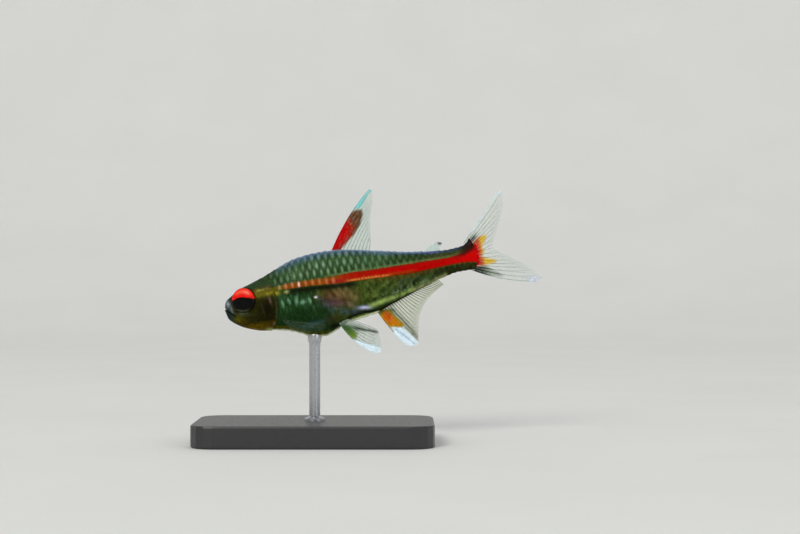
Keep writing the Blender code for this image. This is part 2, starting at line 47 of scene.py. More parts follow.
# Side and top profiles of the body: (x, size)
BACK = [
    (0.0, 0.25), (0.12, 0.66), (0.45, 1.04), (1.0, 1.36), (1.6, 1.74), (2.4, 2.10), (3.4, 2.38),
    (4.6, 2.74), (6.0, 3.20), (7.2, 3.66), (8.6, 4.18), (10.2, 4.54), (12.2, 4.68), (14.5, 4.64),
    (16.8, 4.26), (19.2, 3.70), (21.6, 3.06), (24.2, 2.48), (26.6, 2.10), (29.0, 1.82), (30.6, 1.90),
    (31.5, 2.26), (32.3, 2.80),
]
BELLY = [
    (0.0, -0.85), (0.1, -1.30), (0.3, -1.62), (0.7, -2.02), (1.7, -2.74), (3.5, -3.50), (5.1, -3.88),
    (7.0, -4.26), (8.8, -5.01), (10.6, -5.79), (11.9, -5.88), (13.2, -5.47), (14.4, -4.95),
    (15.8, -4.70), (17.4, -4.52), (18.7, -4.36), (20.2, -3.80), (23.1, -2.92), (26.1, -2.04), (27.9, -1.52),
    (29.6, -1.26), (31.2, -1.28), (32.3, -1.45),
]
HALF_WIDTH = [
    (0.0, 0.42), (0.12, 0.70), (0.45, 0.98), (1.0, 1.28), (1.8, 1.62), (2.8, 1.90), (4.2, 2.10),
    (5.6, 2.22), (7.2, 2.31), (9.5, 2.40), (12.0, 2.36), (15.0, 2.18), (18.5, 1.82), (22.0, 1.42),
    (26.0, 1.02), (29.0, 0.78), (31.0, 0.62), (32.3, 0.46),
]
WIDEST_HEIGHT = [
    (0.0, -0.30), (2.6, -0.15), (6.0, -0.30), (11.0, -0.50), (18.0, -0.15), (26.0, 0.10), (32.3, 0.65),
]
BOXINESS = [(0.0, 2.3), (1.0, 2.6), (2.8, 2.9), (5.0, 2.4), (9.0, 2.1), (32.3, 2.0)]

# Skin mesh: (start, end, spacing) of its rings, and points round each
SKIN_SPANS = [(0.0, 0.9, 0.03), (0.9, 4.3, 0.055), (4.3, 7.4, 0.07), (7.4, BODY_END, 0.2)]
SKIN_AROUND = 256
# Caps at the snout and the tail: how far they bulge, rings in each, and the last ring's share of the first
SNOUT_BULGE, TAIL_BULGE, CAP_RINGS, CAP_POINT = 0.07, 0.12, 12, 0.001
TAIL_ROUNDING, TAIL_MIDDLE, TAIL_ROUNDS_FROM = 0.11, 0.6, 30.4
# Share of the scales' colour that the skin under them shows
SKIN_BRIGHTNESS = 0.15
HEAD_COAT, BODY_COAT = 0.02, 0.09

# Head
MOUTH_FRONT, MOUTH_CORNER = (0.0, -0.12), (1.25, -1.42)
LIP_SWELL, LIP_REACH = 0.10, 0.22
MOUTH_DEPTH, MOUTH_WIDTH = 0.34, 0.085
BEFORE_MOUTH, INNER_MOUTH = (-0.3, 0.19), (1.0, -1.16)
MOUTH_LINE = [BEFORE_MOUTH, MOUTH_FRONT, MOUTH_CORNER]
NOSTRILS_AT, NOSTRIL_ANGLE_DEG = (0.70, 1.08), 42.0
NOSTRIL_RIM, NOSTRIL_RIM_RADIUS, NOSTRIL_RIM_WIDTH = 0.05, 0.19, 0.06
NOSTRIL_PIT, NOSTRIL_PIT_WIDTH = 0.2, 0.11
EYE_AT = (2.56, 0.60)
EYE_RADIUS, EYE_FRONT, EYE_BACK, EYE_SINK = 1.52, 0.47, 0.62, 0.12
SOCKET_DEPTH, SOCKET_OUTER, SOCKET_INNER = 0.75, 1.60, 1.24
SOCKET_RIM, SOCKET_RIM_RADIUS, SOCKET_RIM_WIDTH = 0.06, 1.64, 0.09
GILL_CENTRE = (5.15, -1.05)
GILL_RADII = {"front": 1.05, "back": 2.1, "up": 1.75, "down": 2.0}
GILL_SQUARENESS, GILL_PROUD = 2.6, 0.10
GILL_SLOPE_FROM, GILL_SLOPE_TO = 1.15, 0.45
# Slit behind the gill cover and the shoulder behind the slit
SLIT_DEPTH, SLIT_BEHIND, SLIT_WIDTH = 0.16, 0.10, 0.09
SHOULDER_HEIGHT, SHOULDER_BEHIND, SHOULDER_WIDTH = 0.03, 0.35, 0.14
SLIT_FADES_FROM, SLIT_FADES_TO = 1.2, 1.8
CREASE_SWELL = 0.45

# Creases of the head in side view: (points, depth, width)
CREASES = [
    ([(0.55, -0.55), (1.05, -1.05), (1.55, -1.65), (1.75, -2.15)], 0.06, 0.07),
    ([(1.35, -1.55), (2.0, -2.3), (2.9, -2.9), (4.0, -3.25)], 0.06, 0.10),
    ([(1.15, -0.95), (2.0, -1.32), (3.1, -1.35), (3.95, -0.8), (4.3, 0.1)], 0.04, 0.12),
    ([(4.25, 0.3), (4.5, -0.8), (4.4, -1.9), (3.8, -2.65), (2.9, -2.9)], 0.07, 0.12),
    ([(4.55, -2.45), (5.3, -2.45), (6.1, -2.2)], 0.04, 0.10),
    ([(3.4, -3.05), (4.6, -3.2), (5.5, -3.0)], 0.04, 0.08),
    ([(3.0, -3.25), (4.4, -3.5), (5.3, -3.4)], 0.05, 0.08),
    ([(4.0, 1.95), (4.8, 2.0), (5.6, 1.85)], 0.03, 0.12),
]

# Markings: edges of the side stripe as (x, z), and colours as they look, from 0 to 1
STRIPE_START = 4.3
STRIPE_TOP = [
    (4.3, 1.30), (6.1, 1.42), (8.7, 1.56), (11.2, 1.47), (13.8, 1.34), (16.3, 1.34), (18.8, 1.20),
    (21.3, 1.08), (25.1, 0.94), (28.9, 0.80), (30.3, 1.02), (31.6, 1.44), (32.6, 1.85),
]
STRIPE_BOTTOM = [
    (4.3, 0.80), (6.1, 0.95), (8.6, 0.88), (11.1, 0.73), (13.6, 0.46), (16.1, 0.25), (18.7, 0.12),
    (21.1, -0.08), (23.6, -0.26), (26.2, -0.24), (28.7, -0.20), (30.0, -0.22), (31.2, -0.32), (32.6, -0.58),
]
RIDGE_DEPTH = [(6.0, 1.5), (12.0, 1.15), (20.0, 0.95), (25.0, 0.60), (32.3, 0.50)]

# Coat of scales
SCALE_PITCH = [(5.0, 0.77), (9.0, 0.84), (12.0, 0.87), (18.0, 0.87), (24.0, 0.80), (29.0, 0.70), (32.3, 0.62)]
SCALE_ROW = 1.13
ROW_TAPER = [(5.0, 0.82), (8.0, 0.96), (12.0, 1.0), (17.0, 0.97), (23.0, 0.86), (29.0, 0.68), (32.3, 0.72)]
ROWS_UP, ROWS_DOWN = 6, 9
SCALE_LENGTH_SHARE, SCALE_WIDTH_SHARE = 1.85, 1.30
SCALE_SEGMENTS, SCALE_SHARES = 18, (0.36, 0.7, 0.92, 1.0)
SCALE_LIFT, SCALE_SUNK, SCALE_CROWN, SCALE_THICK = 0.13, 0.06, 0.03, 0.02
SHOWN_CENTRE = 0.24
SCALE_ROUNDNESS = 0.88
LENGTH_SPREAD, WIDTH_SPREAD, PLACE_SPREAD, LIFT_SPREAD = 0.05, 0.04, 0.02, 0.008
BRIGHT_LENGTH, BRIGHT_HEIGHT = 0.20, 0.60
# How far scales keep from the back and belly, as a share of a row, and from the gill cover
ROW_MARGIN, GILL_MARGIN = 0.38, 0.22
# Table of the skin: places along it, round it and down it, and how far it reaches past the back and belly
GIRTH_COLUMNS, GIRTH_ANGLES, GIRTH_STEPS, GIRTH_PAST = 160, 700, 500, 0.8
GIRTH_LOW, GIRTH_HIGH = -11.0, 8.0
COAT_FROM, COAT_TO, FIRST_COLUMN = 4.2, 32.9, 4.94
COAT_END, COAT_END_CURVE = 32.45, 0.09
# Single rows along the back and the belly: (from, to) of their parts, lift, and shift along the body
BACK_SPANS = [(5.7, 14.2), (19.6, 25.4), (27.2, 31.2)]
BELLY_SPANS = [(6.0, 13.2), (15.4, 17.4), (27.2, 31.2)]
MEDIAN_LIFT, MEDIAN_OFFSET = 0.03, 0.25
HUE_SPREAD = 0.14
# Map for baking: size of a scale's patch on it, and its free margin
PATCH, MAP_MARGIN = 0.003, 0.02


# Numbers and curves

def smooth(points):
    """Curve through (position, value) points that never overshoots them, as a function of positions."""
    xs, ys = np.array(points, float).T
    steps = np.diff(xs)
    slopes = np.diff(ys) / steps
    tangents = np.zeros(len(xs))
    tangents[0], tangents[-1] = slopes[0], slopes[-1]
    for i in range(1, len(xs) - 1):
        if slopes[i - 1] * slopes[i] > 0:
            before, after = 2 * steps[i] + steps[i - 1], steps[i] + 2 * steps[i - 1]
            tangents[i] = (before + after) / (before / slopes[i - 1] + after / slopes[i])

    def at(x):
        x = np.clip(x, xs[0], xs[-1])
        i = np.clip(np.searchsorted(xs, x, side="right") - 1, 0, len(steps) - 1)
        t = (x - xs[i]) / steps[i]
        return (
            ys[i] * (1 + 2 * t) * (1 - t) ** 2
            + tangents[i] * steps[i] * t * (1 - t) ** 2
            + ys[i + 1] * t * t * (3 - 2 * t)
            + tangents[i + 1] * steps[i] * t * t * (t - 1)
        )

    return at


def ease(low, high, value):
    """0 below low and 1 above high, with a smooth step between; reversed where low is over high."""
    t = np.clip((value - low) / (high - low), 0.0, 1.0)
    return t * t * (3 - 2 * t)


def hump(distance, width):
    return np.exp(-((distance / width) ** 2))


def within(value, start, end, soft):
    """1 between start and end, fading to 0 over soft outside them."""
    return ease(start - soft, start, value) * ease(end + soft, end, value)


def seen(red, green, blue):
    """Linear colour of a colour as it looks."""
    colour = np.array([red, green, blue])
    return np.where(colour <= 0.04045, colour / 12.92, ((colour + 0.055) / 1.055) ** 2.4)


def full_turn(count):
    """Angles evenly spaced round a full turn."""
    return np.arange(count) * 2 * pi / count


def filled(colour, like):
    """The colour at each of an array of places."""
    return colour + 0 * like[..., None]


def laid(under, over, mask):
    """Colour over another one, by a mask from 0 to 1."""
    return under + (over - under) * mask[..., None]


back_at, belly_at = smooth(BACK), smooth(BELLY)
half_width_at, widest_at, boxiness_at = smooth(HALF_WIDTH), smooth(WIDEST_HEIGHT), smooth(BOXINESS)
stripe_top_at, stripe_bottom_at = smooth(STRIPE_TOP), smooth(STRIPE_BOTTOM)
pitch_at, taper_at, ridge_depth_at = smooth(SCALE_PITCH), smooth(ROW_TAPER), smooth(RIDGE_DEPTH)


# Body

def bend_slope(x):
    """Sideways slope of the middle line, which swings towards +y behind BEND_START."""
    return tan(radians(BEND_END_DEG)) * np.maximum(0.0, x - BEND_START) / (BODY_END - BEND_START)


def bend_offset(x):
    return bend_slope(x) * np.maximum(0.0, x - BEND_START) / 2


def line_distance(x, z, line):
    """Distance in side view to a line of points, and the share of its length at the nearest point."""
    line = np.array(line, float)
    steps = np.diff(line, axis=0)
    lengths = np.linalg.norm(steps, axis=1)
    nearest, share = np.full(np.shape(x), 1e9), np.zeros(np.shape(x))
    for k, (step, length) in enumerate(zip(steps, lengths)):
        t = np.clip(((x - line[k, 0]) * step[0] + (z - line[k, 1]) * step[1]) / length**2, 0, 1)
        distance = np.hypot(x - line[k, 0] - t * step[0], z - line[k, 1] - t * step[1])
        share = np.where(distance < nearest, (lengths[:k].sum() + t * length) / lengths.sum(), share)
        nearest = np.minimum(nearest, distance)
    return nearest, share


def lip_swell(x, z):
    """How far the lips stand out, from the distance to the line of the mouth."""
    distance, along = line_distance(x, z, [MOUTH_FRONT, MOUTH_CORNER])
    return LIP_SWELL * (1.0 - along**3) * hump(distance, LIP_REACH)


def body_points(x, angle, grow=0.0):
    """Points of the skin at x and at an angle from the back, 90 degrees on the right side."""
    x, angle = np.broadcast_arrays(np.asarray(x, float), np.asarray(angle, float))
    middle = widest_at(x)
    power = 2.0 / boxiness_at(x)
    up, out = np.cos(angle), np.sin(angle)
    reach = np.where(up > 0, back_at(x) + grow - middle, middle - belly_at(x) + grow)
    z = middle + reach * np.abs(up) ** power * np.sign(up)
    side = (half_width_at(x) + grow) * np.abs(out) ** power * np.sign(out)
    swell = np.where(x < MOUTH_CORNER[0] + LIP_REACH, lip_swell(x, z), 0.0)
    side = side + swell * out
    x = x - swell * np.maximum(0.0, 1.0 - x)
    yaw = np.arctan(bend_slope(x))
    return np.stack([x - side * np.sin(yaw), bend_offset(x) + side * np.cos(yaw), z], -1)


def body_normals(x, angle):
    step = 0.02
    along = body_points(x + step, angle) - body_points(x - step, angle)
    around = body_points(x, angle + step) - body_points(x, angle - step)
    normal = np.cross(along, around)
    return normal / np.linalg.norm(normal, axis=-1, keepdims=True)


def skin_angle(x, z):
    """Angle from the back at which the skin lies at height z."""
    middle = widest_at(x)
    reach = np.where(z > middle, back_at(x) - middle, middle - belly_at(x))
    share = np.minimum(np.abs(z - middle) / reach, 1.0)
    angle = np.arccos(share ** (boxiness_at(x) / 2.0))
    return np.where(z > middle, angle, pi - angle)


def skin_at(x, z, side, grow=0.0):
    return body_points(x, side * skin_angle(x, z), grow)


def skin_normal(x, z, side):
    return body_normals(x, side * skin_angle(x, z))


def gill_edge(angle):
    """x of the gill cover's rear edge: furthest back on the sides, forward at the nape and throat."""
    return HEAD_END - GILL_SETBACK * np.cos(angle) ** 2


def to_part(points):
    """Points of the fish's frame in the part's own frame, in metres."""
    turn = np.array(Euler((0, -radians(PITCH_DEG), 0)).to_matrix())
    under_rod = turn @ np.array([ROD_AT, 0.0, belly_at(ROD_AT)])
    return (np.asarray(points) @ turn.T + [-under_rod[0], 0.0, SNOUT_HEIGHT]) * MM


# Meshes

def grid_faces(rows, columns, closed=False):
    """Quads of a grid of points, row by row; closed joins the last column to the first."""
    r, c = np.meshgrid(np.arange(rows - 1), np.arange(columns if closed else columns - 1), indexing="ij")
    a, b = r * columns + c, r * columns + (c + 1) % columns
    return np.stack([a, b, b + columns, a + columns], -1).reshape(-1, 4)


def add_attribute(mesh, name, values):
    """Stores one number, colour or vector for each point."""
    values = np.asarray(values, np.float32)
    if values.ndim == 1:
        mesh.attributes.new(name, "FLOAT", "POINT").data.foreach_set("value", values)
    elif name in ("scale_place", "place"):
        mesh.attributes.new(name, "FLOAT_VECTOR", "POINT").data.foreach_set("vector", values.ravel())
    else:
        colours = np.concatenate([values, np.ones((len(values), 1), np.float32)], 1)
        mesh.attributes.new(name, "FLOAT_COLOR", "POINT").data.foreach_set("color", colours.ravel())


def added(name, data):
    """New object in the scene."""
    made = bpy.data.objects.new(name, data)
    bpy.context.scene.collection.objects.link(made)
    return made


def smooth_mesh(name, points, groups, finish, crease_deg=None):
    """Smooth mesh in metres with one material; groups are arrays of faces with equal sides."""
    mesh = bpy.data.meshes.new(name)
    mesh.from_pydata(points, [], [tuple(face) for group in groups for face in group.tolist()])
    mesh.shade_smooth()
    if crease_deg:
        mesh.set_sharp_from_angle(angle=radians(crease_deg))
    mesh.materials.append(finish)
    return mesh


def end_rings(rows, columns):
    """Faces that close the first and the last row of a grid of points."""
    ring = np.arange(columns)[None]
    return ring[:, ::-1], ring + (rows - 1) * columns


def made_piece(name, points, faces, attributes, finish, replaced=(), crease_deg=None):
    """Shown piece from points of the fish's frame, riding on the part's one body."""
    mesh = smooth_mesh(name, to_part(points), faces, finish, crease_deg)
    for key, values in attributes.items():
        add_attribute(mesh, key, values)
    piece = added(name, mesh)
    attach(piece, "root")
    if replaced:
        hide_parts(*replaced)
    return piece


# Markings

BACK_GREEN, BACK_BRIGHT = seen(0.14, 0.25, 0.05), seen(0.38, 0.50, 0.38)
RIDGE_BLUE_AND_SHEEN, RIDGE_BRIGHT = seen(0.24, 0.33, 0.36), seen(0.44, 0.55, 0.60)
BACK_HAZE, HAZE_BRIGHT = seen(0.24, 0.35, 0.22), seen(0.40, 0.52, 0.42)
REAR_GREEN, REAR_BRIGHT = seen(0.13, 0.20, 0.08), seen(0.30, 0.40, 0.24)
REAR_BLUE, REAR_BLUE_BRIGHT = seen(0.14, 0.22, 0.28), seen(0.25, 0.32, 0.44)
RIDGE_VIOLET, CREST_HIGHLIGHT, OLIVE_BROWN = seen(0.36, 0.34, 0.60), seen(0.50, 0.60, 0.72), seen(0.30, 0.25, 0.06)
NAPE_GREEN, NAPE_BRIGHT = seen(0.14, 0.22, 0.09), seen(0.33, 0.43, 0.30)
FLANK_GREEN, FLANK_BRIGHT = seen(0.19, 0.27, 0.06), seen(0.40, 0.48, 0.24)
BELLY_TEAL, BELLY_BRIGHT = seen(0.08, 0.19, 0.07), seen(0.22, 0.32, 0.19)
DEEP_GREEN, GREEN_SILVER = seen(0.08, 0.20, 0.04), seen(0.34, 0.52, 0.38)
TEAL_SHEEN, GLINT_MINT = seen(0.24, 0.38, 0.40), seen(0.50, 0.70, 0.56)
PINK_BROWN, PINK_BRIGHT, RIB_BROWN = seen(0.30, 0.22, 0.13), seen(0.52, 0.38, 0.32), seen(0.40, 0.23, 0.11)
PURPLE, RIB_SHADE, RIB_PALE = seen(0.36, 0.24, 0.30), seen(0.20, 0.10, 0.02), seen(0.46, 0.40, 0.33)
LILAC_SILVER, WHITE_GLINT = seen(0.80, 0.81, 0.96), seen(0.95, 0.95, 0.98)
RIM_GLOW, TAN = seen(0.94, 0.98, 0.80), seen(0.50, 0.46, 0.28)
ANAL_STREAK, PALE_BREAKS = seen(0.58, 0.68, 0.36), seen(0.60, 0.62, 0.40)
DARK_LINE, NEAR_BLACK = seen(0.08, 0.11, 0.02), seen(0.04, 0.06, 0.02)
STALK_BROWN, STALK_LIGHT, ROOT_BROWN = seen(0.13, 0.12, 0.02), seen(0.24, 0.20, 0.08), seen(0.15, 0.07, 0.05)
OLIVE_LIGHT, KEEL_OLIVE, BELLY_OLIVE = seen(0.42, 0.48, 0.22), seen(0.42, 0.48, 0.16), seen(0.30, 0.31, 0.02)
BELLY_BROWN, NAVY, FLANK_SLATE = seen(0.19, 0.16, 0.08), seen(0.20, 0.23, 0.34), seen(0.24, 0.30, 0.24)
TAN_OLIVE, SPECK_GREEN = seen(0.34, 0.31, 0.14), seen(0.42, 0.52, 0.36)
KEEL_LINE = [
    (13.6, -4.75), (15.4, -4.05), (17.0, -3.82), (18.4, -3.98), (19.4, -3.82), (21.5, -3.25), (23.2, -2.8),
]
keel_line_at = smooth(KEEL_LINE)
STRIPE_GOLD, STRIPE_ORANGE = seen(0.36, 0.33, 0.02), seen(0.53, 0.26, 0.02)
STRIPE_RED, STRIPE_DEEP, STRIPE_END = seen(0.64, 0.06, 0.0), seen(0.70, 0.0, 0.0), seen(0.80, 0.0, 0.0)
STRIPE_RIM, STRIPE_FRINGE, STRIPE_PINK = seen(0.84, 0.54, 0.24), seen(0.36, 0.12, 0.0), seen(0.60, 0.12, 0.12)
STRIPE_OLIVE, OLIVE_SHADE = seen(0.34, 0.30, 0.06), seen(0.24, 0.21, 0.08)
BEAD, BRIGHT_BEAD, TAN_BEAD = seen(0.78, 0.46, 0.30), seen(0.98, 0.84, 0.78), seen(0.60, 0.56, 0.36)
STRIPE_HALO = seen(0.46, 0.54, 0.32)
SNOUT_GREY, SNOUT_GLEAM, NAPE_GREY = seen(0.16, 0.22, 0.18), seen(0.54, 0.56, 0.60), seen(0.17, 0.25, 0.15)
CHEEK_OLIVE, CHEEK_SILVER = seen(0.15, 0.15, 0.02), seen(0.29, 0.31, 0.22)
OPERCLE_BROWN = seen(0.08, 0.07, 0.0)
JAW_OLIVE, THROAT_GOLD, GOLD_PATCH = seen(0.35, 0.33, 0.03), seen(0.42, 0.34, 0.02), seen(0.39, 0.36, 0.0)
GOLD_HIGHLIGHT, PALE_SPOT, PINK_SPOT = seen(0.70, 0.66, 0.22), seen(0.72, 0.76, 0.48), seen(0.46, 0.38, 0.32)
JAW_SHADOW, JAW_BROWN = seen(0.07, 0.13, 0.12), seen(0.27, 0.22, 0.01)
GILL_ARC, MOUTH_SHADE = seen(0.28, 0.30, 0.20), seen(0.05, 0.06, 0.04)

# Single marks: (colour, strength, middle, radii, tilt)
FRONT_MARKS = [
    (TEAL_SHEEN, 0.6, (10.4, -4.05), (1.5, 0.26), 4.0),
    (GLINT_MINT, 0.75, (8.15, -0.65), (0.13, 0.40), 12.0),
    (GLINT_MINT, 0.75, (9.1, -0.75), (0.17, 0.45), -6.0),
    (GLINT_MINT, 0.75, (9.85, -1.1), (0.30, 0.22), 20.0),
    (GLINT_MINT, 0.75, (10.75, -1.05), (0.12, 0.40), 10.0),
    (GLINT_MINT, 0.75, (7.3, -0.75), (0.11, 0.32), 14.0),
]
FLANK_MARKS = [
    (RIB_SHADE, 0.75, (13.74, -0.9), (0.55, 0.26), -61.0),
    (RIB_SHADE, 0.75, (14.95, -1.95), (0.45, 0.22), -61.0),
    (RIB_PALE, 0.75, (15.6, -2.55), (0.5, 0.25), -30.0),
    (TAN, 0.75, (16.36, -1.92), (0.3, 0.4), 0.0),
    (DEEP_GREEN, 0.75, (20.0, -1.62), (0.8, 0.35), 12.0),
    (DEEP_GREEN, 0.75, (18.9, -0.76), (0.5, 0.35), 0.0),
    (OLIVE_LIGHT, 0.75, (18.75, -2.14), (0.5, 0.3), 20.0),
]
KEEL_MARKS = [
    (NEAR_BLACK, 0.9, (13.1, -4.75), (0.7, 0.3), 20.0),
    (NAVY, 0.7, (15.7, -3.5), (0.9, 0.28), -6.0),
    (LILAC_SILVER, 0.95, (17.15, -3.28), (0.72, 0.2), -8.0),
]
PALE_MARKS = [
    # Painted glint: a small white sparkle on the flank.
    (WHITE_GLINT, 0.85, (11.54, -0.80), (0.16, 0.12), 0.0),
    # Painted highlight: a pale gold spot.
    (GOLD_HIGHLIGHT, 1.0, (6.81, 0.62), (0.30, 0.22), 0.0),
    (PALE_SPOT, 1.0, (8.08, 0.55), (0.24, 0.16), 0.0),
]
TEAL_LINE = [(12.2, -1.4), (13.4, -2.8), (14.6, -3.2)]
# Lines over the anal fin, from the dark one down
DARK_UNDER = [(18.6, -2.5), (21.0, -2.2), (24.6, -1.2)]
STREAK_LINE = [(17.9, -3.25), (19.2, -3.0), (21.2, -2.75), (23.4, -2.3)]
SPECK_LINE = [(19.5, -2.35), (22.5, -1.95), (25.5, -1.5)]
BREAK_LINE = [(23.4, -2.35), (25.2, -2.0), (27.9, -1.3)]
RIB_SPACING = 0.72
# Waves of the mottle: (along x, along z, phase)
MOTTLE_WAVES = [
    (1.0, 0.3, 0.4), (-0.5, 1.1, 2.1), (0.7, -0.9, 4.0), (1.6, 0.9, 1.3), (-1.4, 1.5, 5.2), (2.3, -0.4, 0.9),
]


def spot(x, z, centre, radii, tilt_deg=0.0):
    """Soft ellipse in side view, 1 at its centre."""
    dx, dz = x - centre[0], z - centre[1]
    c, s = cos(radians(tilt_deg)), sin(radians(tilt_deg))
    return np.exp(-(((dx * c + dz * s) / radii[0]) ** 2) - ((-dx * s + dz * c) / radii[1]) ** 2)


def stripe_depth(x, z):
    """How far inside the side stripe a place lies, in millimetres, and below 0 outside it."""
    inside = np.minimum(stripe_top_at(x) - z, z - stripe_bottom_at(x))
    return np.minimum(inside, (x - STRIPE_START) * 0.5)


def stripe_colour(x, z):
    over, under = z - stripe_bottom_at(x), stripe_top_at(x) - z
    colour = filled(STRIPE_GOLD, x)
    for mask, laid_over in (
        (ease(7.0, 8.6, x), STRIPE_ORANGE),
        (ease(12.5, 17.0, x), STRIPE_RED),
        (ease(17.0, 22.0, x), STRIPE_DEEP),
        (ease(26.0, 31.0, x), STRIPE_END),
        (0.7 * ease(0.40, 0.0, under) * within(x, 6.0, 14.2, 1.5), STRIPE_OLIVE),
        (0.4 * ease(0.5, 0.0, under) * ease(15.0, 18.0, x), STRIPE_FRINGE),
        (0.9 * ease(0.85, 0.1, under) * ease(28.6, 31.0, x), ROOT_BROWN),
        (0.9 * hump(over - 0.16, 0.22) * within(x, 13.9, 15.8, 0.7), STRIPE_PINK),
        (0.95 * hump(over - 0.16, 0.09) * within(x, 16.4, 20.5, 1.2), STRIPE_RIM),
        (0.6 * hump(over - 0.28, 0.16) * within(x, 21.5, 23.5, 1.2), STRIPE_ORANGE),
        (0.85 * ease(0.26, 0.04, over) * within(x, 21.8, 31.0, 1.6), STRIPE_FRINGE),
    ):
        colour = laid(colour, laid_over, mask)
    return colour


def mottle(x, z, size):
    """Uneven pattern between 0 and 1 with patches of about this size."""
    total = sum(np.sin((a * x + b * z) * 2.6 / size + c) for a, b, c in MOTTLE_WAVES)
    return 0.5 + 0.5 * np.tanh(0.7 * total)


class Paint:
    """Ground and bright colours of the coat, changed together by the same masks."""

    def __init__(self, ground, bright):
        self.ground, self.bright = ground, bright

    def lay(self, mask, ground, bright=None):
        self.ground = laid(self.ground, ground, mask)
        self.bright = laid(self.bright, ground if bright is None else bright, mask)

    def lay_marks(self, x, z, marks, mask=1.0):
        """Lays single marks from one of the tables above."""
        for colour, strength, middle, radii, tilt_deg in marks:
            self.lay(strength * spot(x, z, middle, radii, tilt_deg) * mask, colour)


def paint_back(coat, x, z):
    top = back_at(x)
    over = z - stripe_top_at(x)
    upper = ease(-0.5, 0.0, over)
    coat.lay(upper, BACK_GREEN, BACK_BRIGHT)
    coat.lay(ease(9.5, 6.0, x) * upper, NAPE_GREEN, NAPE_BRIGHT)
    haze = hump(top - z - 1.5, 0.9) * within(x, 9.0, 20.0, 2.0) * upper
    coat.lay(0.6 * haze, BACK_HAZE, HAZE_BRIGHT)
    rear_back = ease(20.5, 25.0, x) * upper
    coat.lay(rear_back, REAR_GREEN, REAR_BRIGHT)
    coat.lay(0.8 * ease(24.0, 28.0, x) * ease(0.9, 0.2, over) * upper, OLIVE_SHADE)
    ridge = ease(1.0, 0.25, (top - z) / ridge_depth_at(x)) * ease(6.0, 9.5, x) * upper
    # Blue band along the back: its own colour, partly painted lighter, ground and scale middles, as sheen
    # from the light above.
    coat.lay(ridge * (1 - rear_back), RIDGE_BLUE_AND_SHEEN, RIDGE_BRIGHT)
    coat.lay(ridge * rear_back, REAR_BLUE, REAR_BLUE_BRIGHT)
    # Painted highlight: a pale blue band along the top edge of the back, where the light from above falls.
    crest_highlight = ease(0.34, 0.10, top - z) * within(x, 8.5, 26.5, 2.0)
    coat.lay(0.75 * crest_highlight, CREST_HIGHLIGHT)
    coat.lay(0.8 * ridge * spot(x, z, (26.6, 1.95), (0.8, 0.5)), RIDGE_VIOLET)
    coat.lay(0.9 * ease(29.8, 31.2, x) * upper, ROOT_BROWN)
    halo = hump(over - 0.12, 0.13) * ease(12.0, 16.0, x) * ease(31.0, 28.0, x)
    coat.ground = laid(coat.ground, STRIPE_HALO, 0.7 * halo)


def paint_front_flank(coat, x, z):
    coat.lay(within(x, 5.0, 12.6, 1.4) * ease(-0.7, -1.5, z), BELLY_TEAL, BELLY_BRIGHT)
    coat.lay(within(x, 7.2, 11.4, 0.8) * within(z, -1.8, 0.1, 0.4), DEEP_GREEN, GREEN_SILVER)
    teal = hump(line_distance(x, z, TEAL_LINE)[0], 0.42)
    coat.lay(0.7 * teal * mottle(x, z, 0.5), TEAL_SHEEN)
    coat.lay_marks(x, z, FRONT_MARKS)


def paint_ribs(coat, x, z, low_flank):
    """Pink patch with slanting ribs."""
    pink = np.minimum(1.3 * spot(x, z, (14.4, -1.3), (1.9, 1.0), -14.0), 1.0) * low_flank
    ribs = 0.5 + 0.5 * np.sin(2 * pi * (0.88 * x + 0.48 * z) / RIB_SPACING)
    coat.lay(pink, PINK_BROWN, PINK_BRIGHT)
    coat.lay(0.6 * pink * ribs * ease(-1.9, -0.9, z) * ease(16.0, 14.5, x), RIB_BROWN)
    coat.lay(0.7 * pink * (1 - ribs) * ease(-2.2, -0.8, z) * ease(12.5, 14.5, x), TAN)
    coat.lay(0.6 * spot(x, z, (15.6, -1.3), (1.1, 0.9)) * low_flank, TAN_OLIVE, TAN)
    coat.lay(0.65 * spot(x, z, (13.6, -2.0), (1.2, 0.5), -20.0), PURPLE)


def paint_rear_flank(coat, x, z, low_flank):
    rear = ease(16.5, 18.5, x) * low_flank
    coat.lay(0.8 * rear * mottle(x, z, 0.6), DARK_LINE, FLANK_GREEN)
    coat.lay(0.5 * rear * mottle(x + 7.0, z, 0.4) * ease(-2.6, -1.6, z) * ease(24.0, 21.0, x), OLIVE_LIGHT)
    coat.lay(0.45 * rear * mottle(x + 3.0, z + 5.0, 0.9) * ease(20.0, 22.0, x), FLANK_SLATE)
    coat.lay(ease(25.5, 28.5, x) * low_flank, STALK_BROWN, STALK_LIGHT)
    coat.lay(0.6 * rear * mottle(x, z - 3.0, 0.5) * ease(26.0, 28.0, x), REAR_GREEN, REAR_BRIGHT)
    coat.lay(0.7 * hump(z - stripe_bottom_at(x) + 0.22, 0.26) * within(x, 19.5, 25.0, 2.5), OLIVE_BROWN)
    coat.lay_marks(x, z, FLANK_MARKS, low_flank)


def paint_lines(coat, x, z):
    """Black line under the stripe, and the dark and pale lines over the anal fin."""
    line = hump(z - stripe_bottom_at(x) + 0.36, 0.40) * within(x, 8.4, 16.2, 1.4)
    coat.lay(0.95 * line, NEAR_BLACK)
    under = hump(line_distance(x, z, DARK_UNDER)[0], 0.25)
    coat.lay(0.9 * under * mottle(x, z, 0.6), NEAR_BLACK)
    streak = hump(line_distance(x, z, STREAK_LINE)[0], 0.28)
    coat.lay(streak * (1 - 0.6 * mottle(x, z, 0.5) * ease(20.0, 22.0, x)), ANAL_STREAK)
    specks = hump(line_distance(x, z, SPECK_LINE)[0], 0.26)
    coat.lay(0.7 * specks * ease(0.55, 0.75, mottle(x, z + 1.0, 0.45)), SPECK_GREEN)
    broken = hump(line_distance(x, z, BREAK_LINE)[0], 0.24)
    coat.lay(broken * (0.35 + 0.65 * mottle(x, z, 0.45)), PALE_BREAKS)


